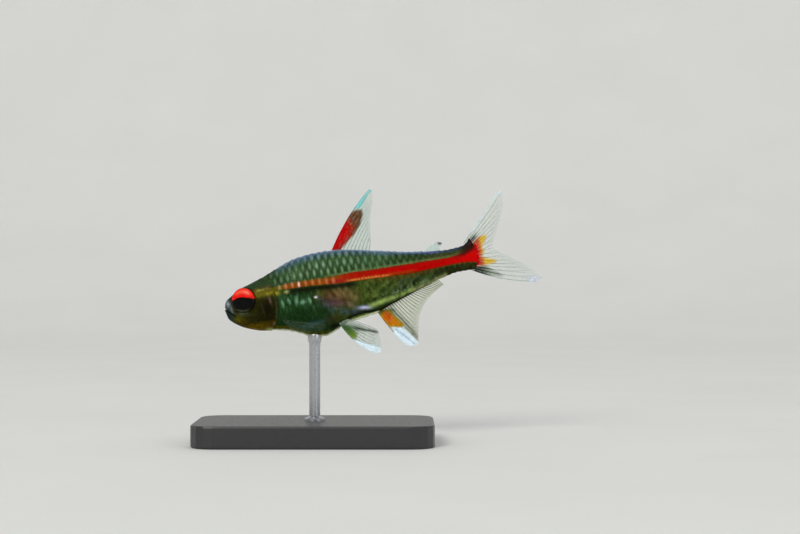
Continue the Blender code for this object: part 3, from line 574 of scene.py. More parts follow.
def paint_belly(coat, x, z):
    bottom = belly_at(x)
    coat.lay(0.75 * spot(x, z, (13.2, -3.9), (1.3, 0.7), 15.0), BELLY_BROWN)
    coat.lay(ease(0.12, 0.26, keel_line_at(x) - z) * within(x, 14.5, 19.8, 0.5), KEEL_OLIVE)
    coat.lay(0.95 * hump(line_distance(x, z, KEEL_LINE)[0], 0.22), NEAR_BLACK)
    coat.lay_marks(x, z, KEEL_MARKS)
    coat.lay(ease(0.75, 0.55, z - bottom) * within(x, 5.6, 11.8, 1.0), BELLY_OLIVE)
    # Painted glow: a pale line along the lower edge of the belly, where light shines through its thin edge.
    rim = ease(0.32, 0.15, z - bottom) * within(x, 5.4, 13.2, 1.0)
    rim = np.maximum(rim, ease(0.40, 0.22, z - bottom) * within(x, 14.9, 18.6, 0.4))
    coat.lay(rim, RIM_GLOW)


def scale_shine(x, z):
    """How much the middles of the scales show outside the stripe, from 0 to 1."""
    shine = 0.55 + (0.05 + 0.25 * within(x, 12.0, 17.0, 2.5)) * ease(-0.3, 0.2, z - stripe_top_at(x))
    return np.minimum(shine + 0.45 * within(x, 7.6, 11.0, 0.8) * within(z, -1.5, -0.1, 0.3), 1.0)


def body_markings(x, z):
    """(ground, bright, shine): colours between and at the middles of the scales, and how much these show."""
    coat = Paint(filled(FLANK_GREEN, x), filled(FLANK_BRIGHT, x))
    low_flank = ease(0.05, -0.2, z - stripe_bottom_at(x))
    paint_back(coat, x, z)
    paint_front_flank(coat, x, z)
    paint_ribs(coat, x, z, low_flank)
    paint_rear_flank(coat, x, z, low_flank)
    paint_lines(coat, x, z)
    paint_belly(coat, x, z)
    coat.lay_marks(x, z, PALE_MARKS)
    inner = ease(-0.1, 0.1, stripe_depth(x, z))
    bright_one = spot(x, 0 * z, (9.65, 0.0), (0.5, 1.0))
    beads = laid(filled(TAN_BEAD, x), stripe_colour(x, z), ease(7.4, 8.2, x))
    beads = laid(laid(beads, BEAD, within(x, 8.2, 14.0, 1.0)), BRIGHT_BEAD, bright_one)
    bright = laid(coat.bright, beads, inner)
    lower_half = hump(z - stripe_bottom_at(x) - 0.36, 0.42)
    bead_shine = 0.1 + (0.6 * within(x, 7.4, 14.0, 0.8) + 0.3 * bright_one) * lower_half
    return coat.ground, bright, np.where(inner > 0.5, bead_shine, scale_shine(x, z))


def head_colour(x, z, angle):
    """Colour of the bare skin in front of the gill slit."""
    colour = laid(filled(CHEEK_OLIVE, x), NAPE_GREY, ease(1.45, 1.9, z))
    for mask, over in (
        (ease(-2.3, -3.0, z) * ease(0.8, 1.8, x), THROAT_GOLD),
        (0.9 * spot(x, z, (1.9, -2.1), (1.2, 0.42), -38.0), JAW_BROWN),
        (0.95 * spot(x, z, (1.2, -1.62), (0.62, 0.42), -20.0), JAW_OLIVE),
        (0.9 * spot(x, z, (2.15, -1.08), (0.62, 0.2), -8.0), CHEEK_SILVER),
        (spot(x, z, (5.4, -1.15), (1.0, 1.75)) ** 0.5, OPERCLE_BROWN),
        (0.25 * spot(x, z, (4.75, -0.9), (0.12, 0.8), 6.0), CHEEK_SILVER),
        (0.55 * spot(x, z, (5.85, -0.1), (0.14, 0.5), 8.0), PINK_SPOT),
        (hump(z - 1.16 + 0.02 * x, 0.50) * ease(3.6, 4.4, x), GOLD_PATCH),
        # Painted highlights: mottled and single pale yellow spots on the gold patch behind the eye.
        (0.45 * hump(z - 1.16 + 0.02 * x, 0.40) * ease(3.9, 4.6, x) * mottle(x, z, 0.4), GOLD_HIGHLIGHT),
        (0.95 * spot(x, z, (4.90, 1.30), (0.42, 0.16), -8.0), GOLD_HIGHLIGHT),
        (ease(1.3, 0.6, x) * ease(-2.2, -1.4, z), SNOUT_GREY),
        (0.9 * spot(x, z, (0.45, 0.50), (0.30, 0.40)), SNOUT_GLEAM),
        (0.5 * spot(x, z, (0.85, -0.35), (0.16, 0.45), 10.0), SNOUT_GLEAM),
        (0.8 * spot(x, z, (0.30, -0.80), (0.24, 0.5)), JAW_SHADOW),
        (spot(x, z, (5.05, -3.72), (0.5, 0.24), -10.0), PALE_SPOT),
        (0.8 * spot(x, z, (5.85, -3.1), (0.28, 0.2), -20.0), PINK_SPOT),
        (0.5 * hump(x - gill_edge(angle) + 0.10, 0.14) * within(z, -2.2, 0.3, 0.5), GILL_ARC),
    ):
        colour = laid(colour, over, mask)
    # Painted shade along the slit of the mouth.
    mouth = hump(line_distance(x, z, MOUTH_LINE)[0], 0.09)
    return laid(colour, MOUTH_SHADE, 0.7 * mouth * ease(1.45, 1.2, x))


# Skin

def even_angles(count):
    """Angles from the back round to it again, evenly spaced along the ring through the eyes."""
    fine = np.linspace(0.0, pi, 2000)
    ring = body_points(EYE_AT[0], fine)
    arc = np.concatenate([[0], np.cumsum(np.linalg.norm(np.diff(ring, axis=0), axis=1))])
    half = np.interp(np.linspace(0, arc[-1], count // 2 + 1), arc, fine)
    return np.concatenate([half, 2 * pi - half[-2:0:-1]])


def eye_frame(side):
    """(centre, axis) of an eye: the axis points out of the head."""
    axis = skin_normal(*EYE_AT, side)
    return skin_at(*EYE_AT, side) - axis * EYE_SINK, axis


def behind_gill(x, z, angle, behind, width):
    """1 along a line behind the gill cover's edge, fading out towards the nape."""
    return hump(x - gill_edge(angle) - behind, width) * ease(SLIT_FADES_TO, SLIT_FADES_FROM, z)


def gill_relief(x, z, angle):
    """Raised gill cover with a step at its rear edge, and the slit behind it."""
    dx, dz = x - GILL_CENTRE[0], z - GILL_CENTRE[1]
    across = np.where(dx > 0, GILL_RADII["back"], GILL_RADII["front"])
    height = np.where(dz > 0, GILL_RADII["up"], GILL_RADII["down"])
    n = GILL_SQUARENESS
    share = (np.abs(dx / across) ** n + np.abs(dz / height) ** n) ** (1 / n)
    plate = GILL_PROUD * ease(GILL_SLOPE_FROM, GILL_SLOPE_TO, share) * ease(0.04, -0.04, x - gill_edge(angle))
    slit = SLIT_DEPTH * behind_gill(x, z, angle, SLIT_BEHIND, SLIT_WIDTH)
    shoulder = SHOULDER_HEIGHT * behind_gill(x, z, angle, SHOULDER_BEHIND, SHOULDER_WIDTH)
    return plate - slit + shoulder


def head_relief(points, x, angle):
    """How far the skin stands out from the plain form, in millimetres."""
    z = points[..., 2]
    relief = gill_relief(x, z, angle)
    distance, share = line_distance(points[..., 0], z, MOUTH_LINE)
    relief -= MOUTH_DEPTH * hump(distance, MOUTH_WIDTH) * ease(1.0, 0.8, share)
    for line, depth, width in CREASES:
        distance, share = line_distance(points[..., 0], z, line)
        fade = ease(0.0, 0.2, share) * ease(1.0, 0.8, share)
        relief -= depth * fade * (hump(distance, width) - CREASE_SWELL * hump(distance - 2 * width, width))
    for side in (-1, 1):
        for place in NOSTRILS_AT:
            centre = body_points(place, side * radians(NOSTRIL_ANGLE_DEG))
            distance = np.linalg.norm(points - centre, axis=-1)
            relief += NOSTRIL_RIM * hump(distance - NOSTRIL_RIM_RADIUS, NOSTRIL_RIM_WIDTH)
            relief -= NOSTRIL_PIT * hump(distance, NOSTRIL_PIT_WIDTH)
    return relief


def socket_move(points):
    """Sunk sockets with a thin raised rim round each eye."""
    move = np.zeros_like(points)
    for side in (-1, 1):
        centre, axis = eye_frame(side)
        offset = points - centre
        along = offset @ axis
        distance = np.linalg.norm(offset - along[..., None] * axis, axis=-1)
        near = np.where(along > -1.0, 1.0, 0.0)
        rim = SOCKET_RIM * hump(distance - SOCKET_RIM_RADIUS, SOCKET_RIM_WIDTH)
        height = rim - SOCKET_DEPTH * ease(SOCKET_OUTER, SOCKET_INNER, distance)
        move += (height * near)[..., None] * axis
    return move


def skin_rings():
    """Rings of (points, x, angle) from the closed snout to the closed end of the tail."""
    stations = np.concatenate([np.arange(a, b - step / 2, step) for a, b, step in SKIN_SPANS] + [[BODY_END]])
    angles = even_angles(SKIN_AROUND)
    x, angle = np.meshgrid(stations, angles, indexing="ij")
    coat = HEAD_COAT + (BODY_COAT - HEAD_COAT) * ease(-0.1, 0.3, x - gill_edge(angle))
    points = body_points(x, angle, -coat)
    normals = body_normals(x, angle)
    points = points + normals * head_relief(points, x, angle)[..., None] + socket_move(points)
    at_tail = ease(TAIL_ROUNDS_FROM, BODY_END, x)
    points[..., 0] -= TAIL_ROUNDING * (points[..., 2] - TAIL_MIDDLE) ** 2 * at_tail
    shares = np.linspace(0.0, 1.0, CAP_RINGS + 1)[:-1]
    front, rear = points[0].mean(0), points[-1].mean(0)
    shares[0] = CAP_POINT
    snout = front + (points[0] - front) * shares[:, None, None]
    snout[..., 0] -= SNOUT_BULGE * (1 - shares[:, None] ** 2)
    mouth = line_distance(snout[..., 0], snout[..., 2], [BEFORE_MOUTH, MOUTH_FRONT, INNER_MOUTH])[0]
    snout[..., 0] += MOUTH_DEPTH * hump(mouth, MOUTH_WIDTH) * (1 - shares[:, None] ** 4)
    tail = rear + (points[-1] - rear) * shares[::-1, None, None]
    tail[..., 0] += TAIL_BULGE * (1 - shares[::-1, None] ** 2) ** 0.5
    whole = np.concatenate([snout, points, tail])
    cap = np.zeros((CAP_RINGS, SKIN_AROUND))
    full = np.concatenate([cap, x, cap + BODY_END])
    return whole, full, np.broadcast_to(angles, full.shape)


def make_skin(finish):
    points, x, angle = skin_rings()
    rows, columns = x.shape
    x, angle, z = x.ravel(), angle.ravel(), points[..., 2].ravel()
    points = points.reshape(-1, 3)
    ground, bright, _ = body_markings(x, z)
    colour = laid(head_colour(x, z, angle), laid(ground, bright, np.full(len(x), SKIN_BRIGHTNESS)),
                  ease(-0.02, 0.1, x - gill_edge(angle)))
    # Painted shade: near black in the slit behind the gill cover.
    colour = laid(colour, NEAR_BLACK, 0.8 * behind_gill(x, z, angle, SLIT_BEHIND, SLIT_WIDTH))
    inward = [grid_faces(rows, columns, True), *end_rings(rows, columns)]
    made_piece("skin", points, [faces[:, ::-1] for faces in inward],
               {"ground": colour, "red": stripe_colour(x, z), "stripe": stripe_depth(x, z)},
               finish, ("head", "gill_cover_left", "gill_cover_right", "trunk", "tail"))


# Scales

class Girth:
    """Finds places on the skin by x and by the distance round it from the stripe, up positive."""

    def __init__(self):
        self.x = np.linspace(COAT_FROM, COAT_TO, GIRTH_COLUMNS)
        self.q = np.linspace(GIRTH_LOW, GIRTH_HIGH, GIRTH_STEPS)
        angles = np.linspace(-GIRTH_PAST, pi + GIRTH_PAST, GIRTH_ANGLES)
        rings = body_points(self.x[:, None], angles[None, :])
        arcs = np.cumsum(np.linalg.norm(np.diff(rings, axis=1), axis=2), axis=1)
        arcs = np.concatenate([np.zeros((len(self.x), 1)), arcs], 1)
        middle = (stripe_top_at(self.x) + stripe_bottom_at(self.x)) / 2
        zero = skin_angle(self.x, middle)
        self.angles = np.zeros((len(self.x), len(self.q)))
        self.top, self.bottom = np.zeros(len(self.x)), np.zeros(len(self.x))
        for i, arc in enumerate(arcs):
            q = np.interp(zero[i], angles, arc) - arc
            self.angles[i] = np.interp(self.q, q[::-1], angles[::-1])
            self.top[i], self.bottom[i] = np.interp(0.0, angles, q), np.interp(pi, angles, q)

    def angle(self, x, q):
        i = np.clip((x - self.x[0]) / (self.x[1] - self.x[0]), 0, len(self.x) - 1.001)
        j = np.clip((q - self.q[0]) / (self.q[1] - self.q[0]), 0, len(self.q) - 1.001)
        i0, j0 = i.astype(int), j.astype(int)
        a, b = i - i0, j - j0
        table = self.angles
        return (
            table[i0, j0] * (1 - a) * (1 - b) + table[i0 + 1, j0] * a * (1 - b)
            + table[i0, j0 + 1] * (1 - a) * b + table[i0 + 1, j0 + 1] * a * b
        )

    def limits(self, x):
        return np.interp(x, self.x, self.bottom), np.interp(x, self.x, self.top)


def columns_along(offset):
    """x of the shown middles of the scales in a row, by their local spacing."""
    places = [FIRST_COLUMN]
    while places[-1] < BODY_END - 0.1:
        places.append(places[-1] + float(pitch_at(places[-1])))
    places = np.array(places)
    return places + offset * pitch_at(places)


def coat_end(q):
    """x where the coat stops: furthest back on the middle of the tail's root."""
    return COAT_END - COAT_END_CURVE * q * q


def scale_places(girth):
    """(x, q) of each scale on one side, from the back rows down."""
    places = []
    for row in range(ROWS_UP, -ROWS_DOWN - 1, -1):
        for x in columns_along(0.5 * (row % 2)):
            row_height = SCALE_ROW * float(taper_at(x))
            q, margin = row * row_height, ROW_MARGIN * row_height
            low, high = girth.limits(x)
            angle = float(girth.angle(np.array(x), np.array(q)))
            tip = x + (0.5 - SHOWN_CENTRE) * SCALE_LENGTH_SHARE * float(pitch_at(x))
            if low + margin < q < high - margin and x > gill_edge(angle) + GILL_MARGIN and tip < coat_end(q):
                places.append((x, q))
    return places


def median_places(girth, at_top, spans):
    """(x, q) of the scales of the single row along the back or the belly."""
    places = []
    for x in columns_along(MEDIAN_OFFSET):
        if any(start < x < end for start, end in spans):
            places.append((x, float(girth.limits(x)[1 if at_top else 0])))
    return places


def scale_patches(places, draw):
    """Shape of each scale: x, q, height and place from its shown middle, and the outline that all share."""
    phi = full_turn(SCALE_SEGMENTS)
    rim_x, rim_q = (np.sign(part) * np.abs(part) ** SCALE_ROUNDNESS for part in (np.cos(phi), np.sin(phi)))
    unit = [(0.0, 0.0)] + [(s * a, s * b) for s in SCALE_SHARES for a, b in zip(rim_x, rim_q)]
    unit = np.array(unit + list(zip(rim_x, rim_q)) + [(0.0, 0.0)])
    under = np.zeros(len(unit))
    under[-SCALE_SEGMENTS - 1:] = 1.0
    centre = np.array(places)
    count = len(centre)
    length = pitch_at(centre[:, 0]) * SCALE_LENGTH_SHARE * (1 + LENGTH_SPREAD * draw.standard_normal(count))
    width = SCALE_ROW * taper_at(centre[:, 0]) * SCALE_WIDTH_SHARE
    width = width * (1 + WIDTH_SPREAD * draw.standard_normal(count))
    local_x = unit[None, :, 0] * length[:, None] / 2
    local_q = unit[None, :, 1] * width[:, None] / 2
    x = centre[:, :1] - SHOWN_CENTRE * length[:, None] + local_x
    q = centre[:, 1:2] + local_q + PLACE_SPREAD * draw.standard_normal((count, 1))
    share = unit[None, :, 0] / 2 + 0.5
    height = -SCALE_SUNK + SCALE_LIFT * share - SCALE_CROWN * unit[None, :, 1] ** 2
    height = height + LIFT_SPREAD * draw.standard_normal((count, 1)) - SCALE_THICK * under[None, :]
    place = np.stack([local_x - SHOWN_CENTRE * length[:, None], local_q,
                      np.broadcast_to(draw.random((count, 1)), x.shape)], -1)
    return x, q, height, place, unit


def scale_faces(count, points_each):
    """Faces of all scales: their tops, rims and undersides."""
    n = SCALE_SEGMENTS
    k = np.arange(n)
    after = (k + 1) % n
    tris = [np.stack([np.zeros(n, int), 1 + after, 1 + k], -1)]
    quads = []
    for ring in range(len(SCALE_SHARES)):
        a, b = 1 + ring * n, 1 + (ring + 1) * n
        quads.append(np.stack([a + k, a + after, b + after, b + k], -1))
    last = 1 + len(SCALE_SHARES) * n
    tris.append(np.stack([np.full(n, points_each - 1), last + k, last + after], -1))
    steps = (np.arange(count) * points_each)[:, None, None]
    return [(np.concatenate(part)[None] + steps).reshape(-1, part[0].shape[1]) for part in (quads, tris)]


def bake_map(mesh, root_x, root_angle, unit):
    """Map with a small patch for each scale, at its root's place on the unrolled skin."""
    at = np.stack([(root_x - COAT_FROM) / (COAT_TO - COAT_FROM), (root_angle + pi) / (2 * pi)], -1)
    at = MAP_MARGIN + (1 - 2 * MAP_MARGIN) * at
    patch = at[:, None, :] + unit[None] * PATCH / 2
    flat = patch.reshape(-1, 2)
    layer = mesh.uv_layers.new(name="OFBake")
    corners = np.zeros(len(mesh.loops), np.int32)
    mesh.loops.foreach_get("vertex_index", corners)
    layer.data.foreach_set("uv", flat[corners].astype(np.float32).ravel())


def make_scales(name, side, places, girth, finish, lift=0.0):
    draw = np.random.default_rng(SEED + 3 * side)
    x, q, height, place, unit = scale_patches(places, draw)
    angle = girth.angle(x, q)
    base = body_points(x, side * angle, -BODY_COAT)
    normals = body_normals(x, side * angle)
    points = (base + normals * (height + lift)[..., None]).reshape(-1, 3)
    flat_x, flat_z = x.ravel(), points[:, 2]
    ground, bright, shine = body_markings(flat_x, flat_z)
    luck = np.repeat(place[:, 0, 2], x.shape[1])
    low = ease(0.0, -0.3, flat_z - stripe_bottom_at(flat_x))
    shine = shine * ((1 - low) * (0.7 + 0.4 * luck) + low * (0.12 + 1.2 * luck**3))
    hue = np.repeat(1 + HUE_SPREAD * (draw.random((len(places), 3)) - 0.5), x.shape[1], axis=0)
    bright = np.clip(bright * hue, 0.0, 1.0)
    faces = scale_faces(len(places), x.shape[1])
    if side < 0:
        faces = [part[:, ::-1] for part in faces]
    piece = made_piece(name, points, faces, {
        "ground": ground, "bright": bright, "shine": shine, "red": stripe_colour(flat_x, flat_z),
        "stripe": stripe_depth(flat_x, flat_z), "scale_place": place.reshape(-1, 3),
    }, finish, crease_deg=50)
    bake_map(piece.data, x[:, 0], side * angle[:, 0], unit)


def make_coat(finish):
    girth = Girth()
    sides = scale_places(girth)
    make_scales("scales_left", -1, sides, girth, finish)
    make_scales("scales_right", 1, sides, girth, finish)
    backs = median_places(girth, True, BACK_SPANS)
    bellies = median_places(girth, False, BELLY_SPANS)
    make_scales("scales_back", 1, backs, girth, finish, MEDIAN_LIFT)
    make_scales("scales_belly", 1, bellies, girth, finish, MEDIAN_LIFT)


# Fins: v runs from the first ray to the last. Margin points are (v, x, z) or (v, x, z, distance out)

DORSAL = {"root": (14.5, 19.1), "rays": 11, "bow": 0.38,
          "margin": [(0.0, 20.7, 11.25), (0.1, 20.98, 11.05), (0.22, 20.9, 10.1), (0.42, 20.5, 8.8),
                     (0.62, 20.1, 7.5), (0.82, 19.8, 6.1), (1.0, 19.6, 4.9)]}
ADIPOSE = {"root": (25.7, 27.6), "rays": 3, "bow": 0.10,
           "margin": [(0.0, 27.8, 3.05), (0.5, 28.35, 2.78), (1.0, 28.15, 2.45)]}
ANAL = {"root": (18.7, 26.8), "rays": 27, "bow": -0.12,
        "margin": [(0.0, 21.3, -8.95), (0.06, 22.3, -9.32), (0.12, 22.95, -9.1), (0.19, 23.15, -8.2),
                   (0.32, 23.55, -6.35), (0.45, 24.3, -4.85), (0.66, 25.8, -3.4), (0.84, 26.9, -2.76),
                   (1.0, 27.5, -2.42)]}
CAUDAL_UPPER = {"root": (2.72, 0.73), "sweep": (0.8, 0.55), "first_swept": True, "rays": 9,
                "bow": (-0.05, -0.05), "yaw_deg": (31.0, 24.0),
                "margin": [(0.0, 36.85, 8.0), (0.12, 37.25, 7.75), (0.28, 37.15, 6.6), (0.46, 36.7, 5.2),
                           (0.65, 36.0, 3.8), (0.85, 35.2, 2.3), (1.0, 34.65, 1.25)]}
CAUDAL_LOWER = {"root": (0.63, -1.37), "sweep": (0.5, -0.1), "first_swept": False, "rays": 9,
                "bow": (0.05, -0.40), "yaw_deg": (24.0, 17.0),
                "margin": [(0.0, 34.65, 0.92), (0.15, 35.5, 0.2), (0.35, 37.0, -0.95), (0.55, 38.35, -1.95),
                           (0.75, 39.5, -3.1), (0.9, 40.15, -4.15), (1.0, 39.5, -4.5)]}
PECTORAL = {"root": [(6.55, -2.75), (7.15, -3.55)], "rays": 9, "bow": 0.25, "lean": 0.0,
            "margin": [(0.0, 12.2, -4.35, 3.5), (0.2, 12.1, -4.8, 3.5), (0.5, 10.9, -5.1, 3.25),
                       (0.8, 9.3, -4.9, 2.8), (1.0, 8.2, -4.5, 2.4)]}
PELVIC = {"root": [(13.75, -4.55), (14.75, -4.3)], "rays": 8, "bow": 0.22, "lean": -0.5,
          "margin": [(0.0, 17.55, -9.2, 2.0), (0.15, 18.15, -9.1, 2.05), (0.4, 18.35, -8.3, 2.0),
                     (0.7, 18.4, -7.35, 1.85), (1.0, 18.2, -6.6, 1.6)]}
RIGHT_SIDE_LIFT = 0.25
CAUDAL_CUP = 0.25
FIN_SUNK, CAUDAL_SUNK, PAIRED_SUNK = 0.25, 0.45, 0.15
MEMBRANE_ROWS, MEMBRANE_PER_RAY = 36, 6
MARGIN_NOTCH, RIPPLE = 0.02, 0.03
# The film fades at its edge, and rays hide more than the film round them
EDGE_FADE, EDGE_FADES_FROM, RAY_COVER_SHARE = 0.25, 0.85, 1.3
RAY_SIDES = 6
# A ray forks twice: (start, end, points, forks) of its shaft, branches and twigs
RAY_PARTS = [(0.0, 0.46, 12, 1), (0.40, 0.76, 10, 2), (0.70, 0.985, 9, 4)]
RAY_SPREAD = (0.27, 0.13)
RAY_ROOT_RADIUS, RAY_TIP_RADIUS = 0.075, 0.015
RAY_PART_SHARES, RAY_FLATNESS, RAY_TAPER = (1.0, 0.74, 0.55), 0.8, 0.8
# A first ray, and each ray of a fin with few of them, stays whole and is thicker
FEW_RAYS, WHOLE_RAY_END, WHOLE_RAY_POINTS, WHOLE_RAY_SHARE = 5, 0.99, 24, 1.25
JOINT_SPACING = 0.24


def margin_of(spec):
    points = spec["margin"]
    return [smooth([(p[0], p[i]) for p in points]) for i in range(1, len(points[0]))]


def across_chord(chord, size):
    """Vector in the plane of the body, square to the chord of a ray."""
    turned = np.stack([-chord[..., 2], 0 * chord[..., 0], chord[..., 0]], -1)
    return turned / np.linalg.norm(turned, axis=-1, keepdims=True) * np.asarray(size)[..., None]


def swept(root_of, tip_of, bow_of):
    """Middle surface of a fin as a function of u, from root to edge, and v, from first to last ray."""

    def at(u, v):
        u, v = np.broadcast_arrays(np.asarray(u, float), np.asarray(v, float))
        held = np.clip(v, 0.0, 1.0)
        root, tip = root_of(v), tip_of(held)
        return root + (tip - root) * u[..., None] + bow_of(held) * (4 * u * (1 - u))[..., None]

    return at


def unpaired_surface(spec, outline_at, above):
    first, last = spec["root"]
    lift = -FIN_SUNK if above else FIN_SUNK
    edge_x, edge_z = margin_of(spec)

    def root_of(v):
        x = first + (last - first) * v
        return np.stack([x, bend_offset(x), outline_at(x) + lift], -1)

    def tip_of(v):
        x = edge_x(v)
        return np.stack([x, bend_offset(np.minimum(x, BODY_END)), edge_z(v)], -1)

    def bow_of(v):
        return across_chord(tip_of(v) - root_of(v), spec["bow"] * (1 - v))

    return swept(root_of, tip_of, bow_of)


def caudal_surface(spec):
    high, low = spec["root"]
    first_yaw, last_yaw = spec["yaw_deg"]
    base = BODY_END - CAUDAL_SUNK
    edge_x, edge_z = margin_of(spec)
    sweep_x, sweep_z = spec["sweep"]

    def root_of(v):
        outer = np.clip(1 - v if spec["first_swept"] else v, 0, 1) ** 3
        x = base - sweep_x * outer
        return np.stack([x, bend_offset(x), high + (low - high) * v - sweep_z * outer], -1)

    def tip_of(v):
        x = edge_x(v)
        swing = np.tan(np.radians(first_yaw + (last_yaw - first_yaw) * v))
        return np.stack([x, bend_offset(BODY_END) + (x - BODY_END - GAP) * swing, edge_z(v)], -1)

    def bow_of(v):
        bow = spec["bow"][0] + (spec["bow"][1] - spec["bow"][0]) * v
        return across_chord(tip_of(v) - root_of(v), bow) - np.array([0, CAUDAL_CUP, 0])

    return swept(root_of, tip_of, bow_of)


def paired_surface(spec, side):
    (x0, z0), (x1, z1) = spec["root"]
    lift = RIGHT_SIDE_LIFT if side > 0 else 0.0
    edge_x, edge_z, edge_out = margin_of(spec)

    def root_of(v):
        x, z = x0 + (x1 - x0) * v, z0 + (z1 - z0) * v
        return skin_at(x, z, side) - skin_normal(x, z, side) * PAIRED_SUNK

    def tip_of(v):
        return np.stack([edge_x(v), side * edge_out(v), edge_z(v) + lift], -1)

    def bow_of(v):
        lean = across_chord(tip_of(v) - root_of(v), spec["lean"] * (1 - v))
        return lean + np.array([0, side * spec["bow"], 0])

    return swept(root_of, tip_of, bow_of)


def surface_normal(at, u, v):
    step = 0.004
    along = at(u + step, v) - at(u - step, v)
    wide = at(u, v + step) - at(u, v - step)
    normal = np.cross(along, wide)
    return normal / np.linalg.norm(normal, axis=-1, keepdims=True)


def membrane(at, rays):
    """(points, u, v, rows, columns) of the film between the rays, notched at its edge."""
    columns = (rays - 1) * MEMBRANE_PER_RAY + 1
    u, v = np.meshgrid(np.linspace(0, 1, MEMBRANE_ROWS + 1), np.linspace(0, 1, columns), indexing="ij")
    between = np.sin(pi * v * (rays - 1)) ** 2
    points = at(u * (1 - MARGIN_NOTCH * between * u), v)
    points = points + surface_normal(at, u, v) * (RIPPLE * between * u)[..., None]
    return points.reshape(-1, 3), u.ravel(), v.ravel(), MEMBRANE_ROWS + 1, columns


def ray_tubes(at, rays, thick):
    """(points, quads, u, v) of all rays, each a shaft that forks twice."""
    theta = full_turn(RAY_SIDES)
    branches_from, twigs_from = RAY_PARTS[1][0], RAY_PARTS[2][0]
    all_points, all_faces, all_u, all_v, start = [], [], [], [], 0
    for k in range(rays):
        whole = k == 0 or rays < FEW_RAYS
        for part, (first, last, count, forks) in enumerate(RAY_PARTS[:1] if whole else RAY_PARTS):
            u = np.linspace(first, *((WHOLE_RAY_END, WHOLE_RAY_POINTS) if whole else (last, count)))
            for fork in range(forks):
                inner = (fork // max(1, forks // 2)) * 2 - 1 if forks > 1 else 0
                outer = (fork % 2) * 2 - 1 if forks > 2 else 0
                away = inner * RAY_SPREAD[0] * ease(branches_from, 1.0, u)
                away = away + outer * RAY_SPREAD[1] * ease(twigs_from, 1.0, u)
                v = np.clip((k + away) / (rays - 1), 0.0, 1.0)
                centre = at(u, v)
                normal = surface_normal(at, u, v)
                along = np.gradient(centre, axis=0)
                across = np.cross(along, normal)
                across /= np.linalg.norm(across, axis=-1, keepdims=True)
                share = RAY_PART_SHARES[part] * thick * (WHOLE_RAY_SHARE if whole else 1.0)
                radius = share * (RAY_TIP_RADIUS + (RAY_ROOT_RADIUS - RAY_TIP_RADIUS) * (1 - u) ** RAY_TAPER)
                ring = np.cos(theta)[:, None] * normal[:, None] * RAY_FLATNESS
                ring = ring + np.sin(theta)[:, None] * across[:, None]
                tube = centre[:, None] + ring * radius[:, None, None]
                all_points.append(tube.reshape(-1, 3))
                all_faces.append(grid_faces(len(u), RAY_SIDES, True) + start)
                all_u.append(np.repeat(u, RAY_SIDES))
                all_v.append(np.repeat(v, RAY_SIDES))
                start += len(u) * RAY_SIDES
    return np.concatenate(all_points), np.concatenate(all_faces), np.concatenate(all_u), np.concatenate(all_v)


CLEAR_FILM, CLEAR_RAY = seen(0.72, 0.80, 0.73), seen(0.72, 0.80, 0.74)
FIN_RED, FIN_BROWN, FIN_CYAN = seen(0.74, 0.0, 0.0), seen(0.36, 0.20, 0.0), seen(0.46, 0.80, 0.80)
FIN_WHITE, FIN_ORANGE, FIN_YELLOW = seen(0.88, 0.96, 1.0), seen(0.76, 0.30, 0.0), seen(0.78, 0.50, 0.02)
FIN_OLIVE, FIN_DARK, FIN_GREEN = seen(0.38, 0.42, 0.14), seen(0.10, 0.16, 0.09), seen(0.40, 0.53, 0.04)
FIN_AMBER, FIN_SHADE = seen(0.86, 0.70, 0.14), seen(0.20, 0.36, 0.16)
FIN_LIME, FIN_BLUE = seen(0.56, 0.54, 0.08), seen(0.46, 0.58, 0.76)
FIN_VEIL, FIN_TEAL, FIN_ICE = seen(0.58, 0.66, 0.34), seen(0.50, 0.72, 0.62), seen(0.84, 0.88, 0.98)
FIN_MOSS = seen(0.26, 0.34, 0.08)
FLARE_COMB, FLARE_TEETH = 0.14, 68.0

# Outlines of the fins' markings in side view, as (x, z)
DORSAL_PATCH = [
    (14.0, 4.2), (15.0, 6.1), (16.1, 7.8), (17.2, 8.45), (18.3, 9.0), (19.3, 8.9), (19.3, 8.2), (18.7, 7.0),
    (17.7, 5.9), (17.0, 5.4), (15.5, 4.2),
]
DORSAL_RED = [(14.0, 4.2), (14.9, 6.2), (16.3, 8.2), (17.3, 7.9), (17.6, 6.8), (17.2, 5.9), (15.4, 4.2)]
DORSAL_TIP = [
    (17.9, 9.05), (19.2, 9.1), (19.7, 9.7), (20.4, 10.6), (21.2, 11.0), (21.1, 11.5), (20.2, 11.4),
    (18.6, 10.0),
]
ANAL_PATCH = [
    (18.8, -3.9), (20.2, -4.1), (20.6, -4.9), (21.2, -5.6), (21.7, -6.4), (21.2, -6.75), (20.1, -6.5),
    (19.4, -6.1), (18.9, -5.1),
]
ANAL_TIP = [(20.1, -6.4), (21.3, -6.7), (21.8, -7.2), (23.2, -9.1), (22.4, -9.7), (21.2, -9.2), (20.2, -7.6)]
ANAL_LINE = [(20.3, -4.2), (21.4, -5.5), (22.3, -7.1), (22.95, -8.4)]
ANAL_STRIPE = [(20.5, -6.75), (22.5, -9.07)]
PELVIC_TIP = [
    (14.7, -6.8), (15.7, -7.2), (16.6, -7.75), (17.9, -8.4), (18.7, -8.8), (18.4, -9.8), (17.0, -9.8),
    (15.2, -8.6),
]
PELVIC_GREEN = [
    (14.2, -4.7), (15.0, -5.3), (15.7, -6.3), (15.4, -7.0), (14.8, -7.0), (13.9, -5.8), (13.6, -5.0),
]
PELVIC_LINE = [(15.7, -5.65), (16.6, -6.0), (18.3, -6.7)]
CAUDAL_FLARES = [
    [(32.0, 2.0), (33.1, 2.7), (34.3, 2.75), (33.8, 2.0), (33.3, 1.3), (33.5, 0.7), (33.1, 0.2), (32.0, 0.0)],
    [(32.0, 0.1), (33.1, 0.05), (34.8, -0.7), (34.6, -1.0), (33.4, -1.12), (32.0, -0.95)],
]
CAUDAL_STREAKS = [(31.6, -0.8), (33.4, -1.2), (35.0, -2.5), (35.2, -3.0), (33.4, -2.5), (31.6, -1.7)]


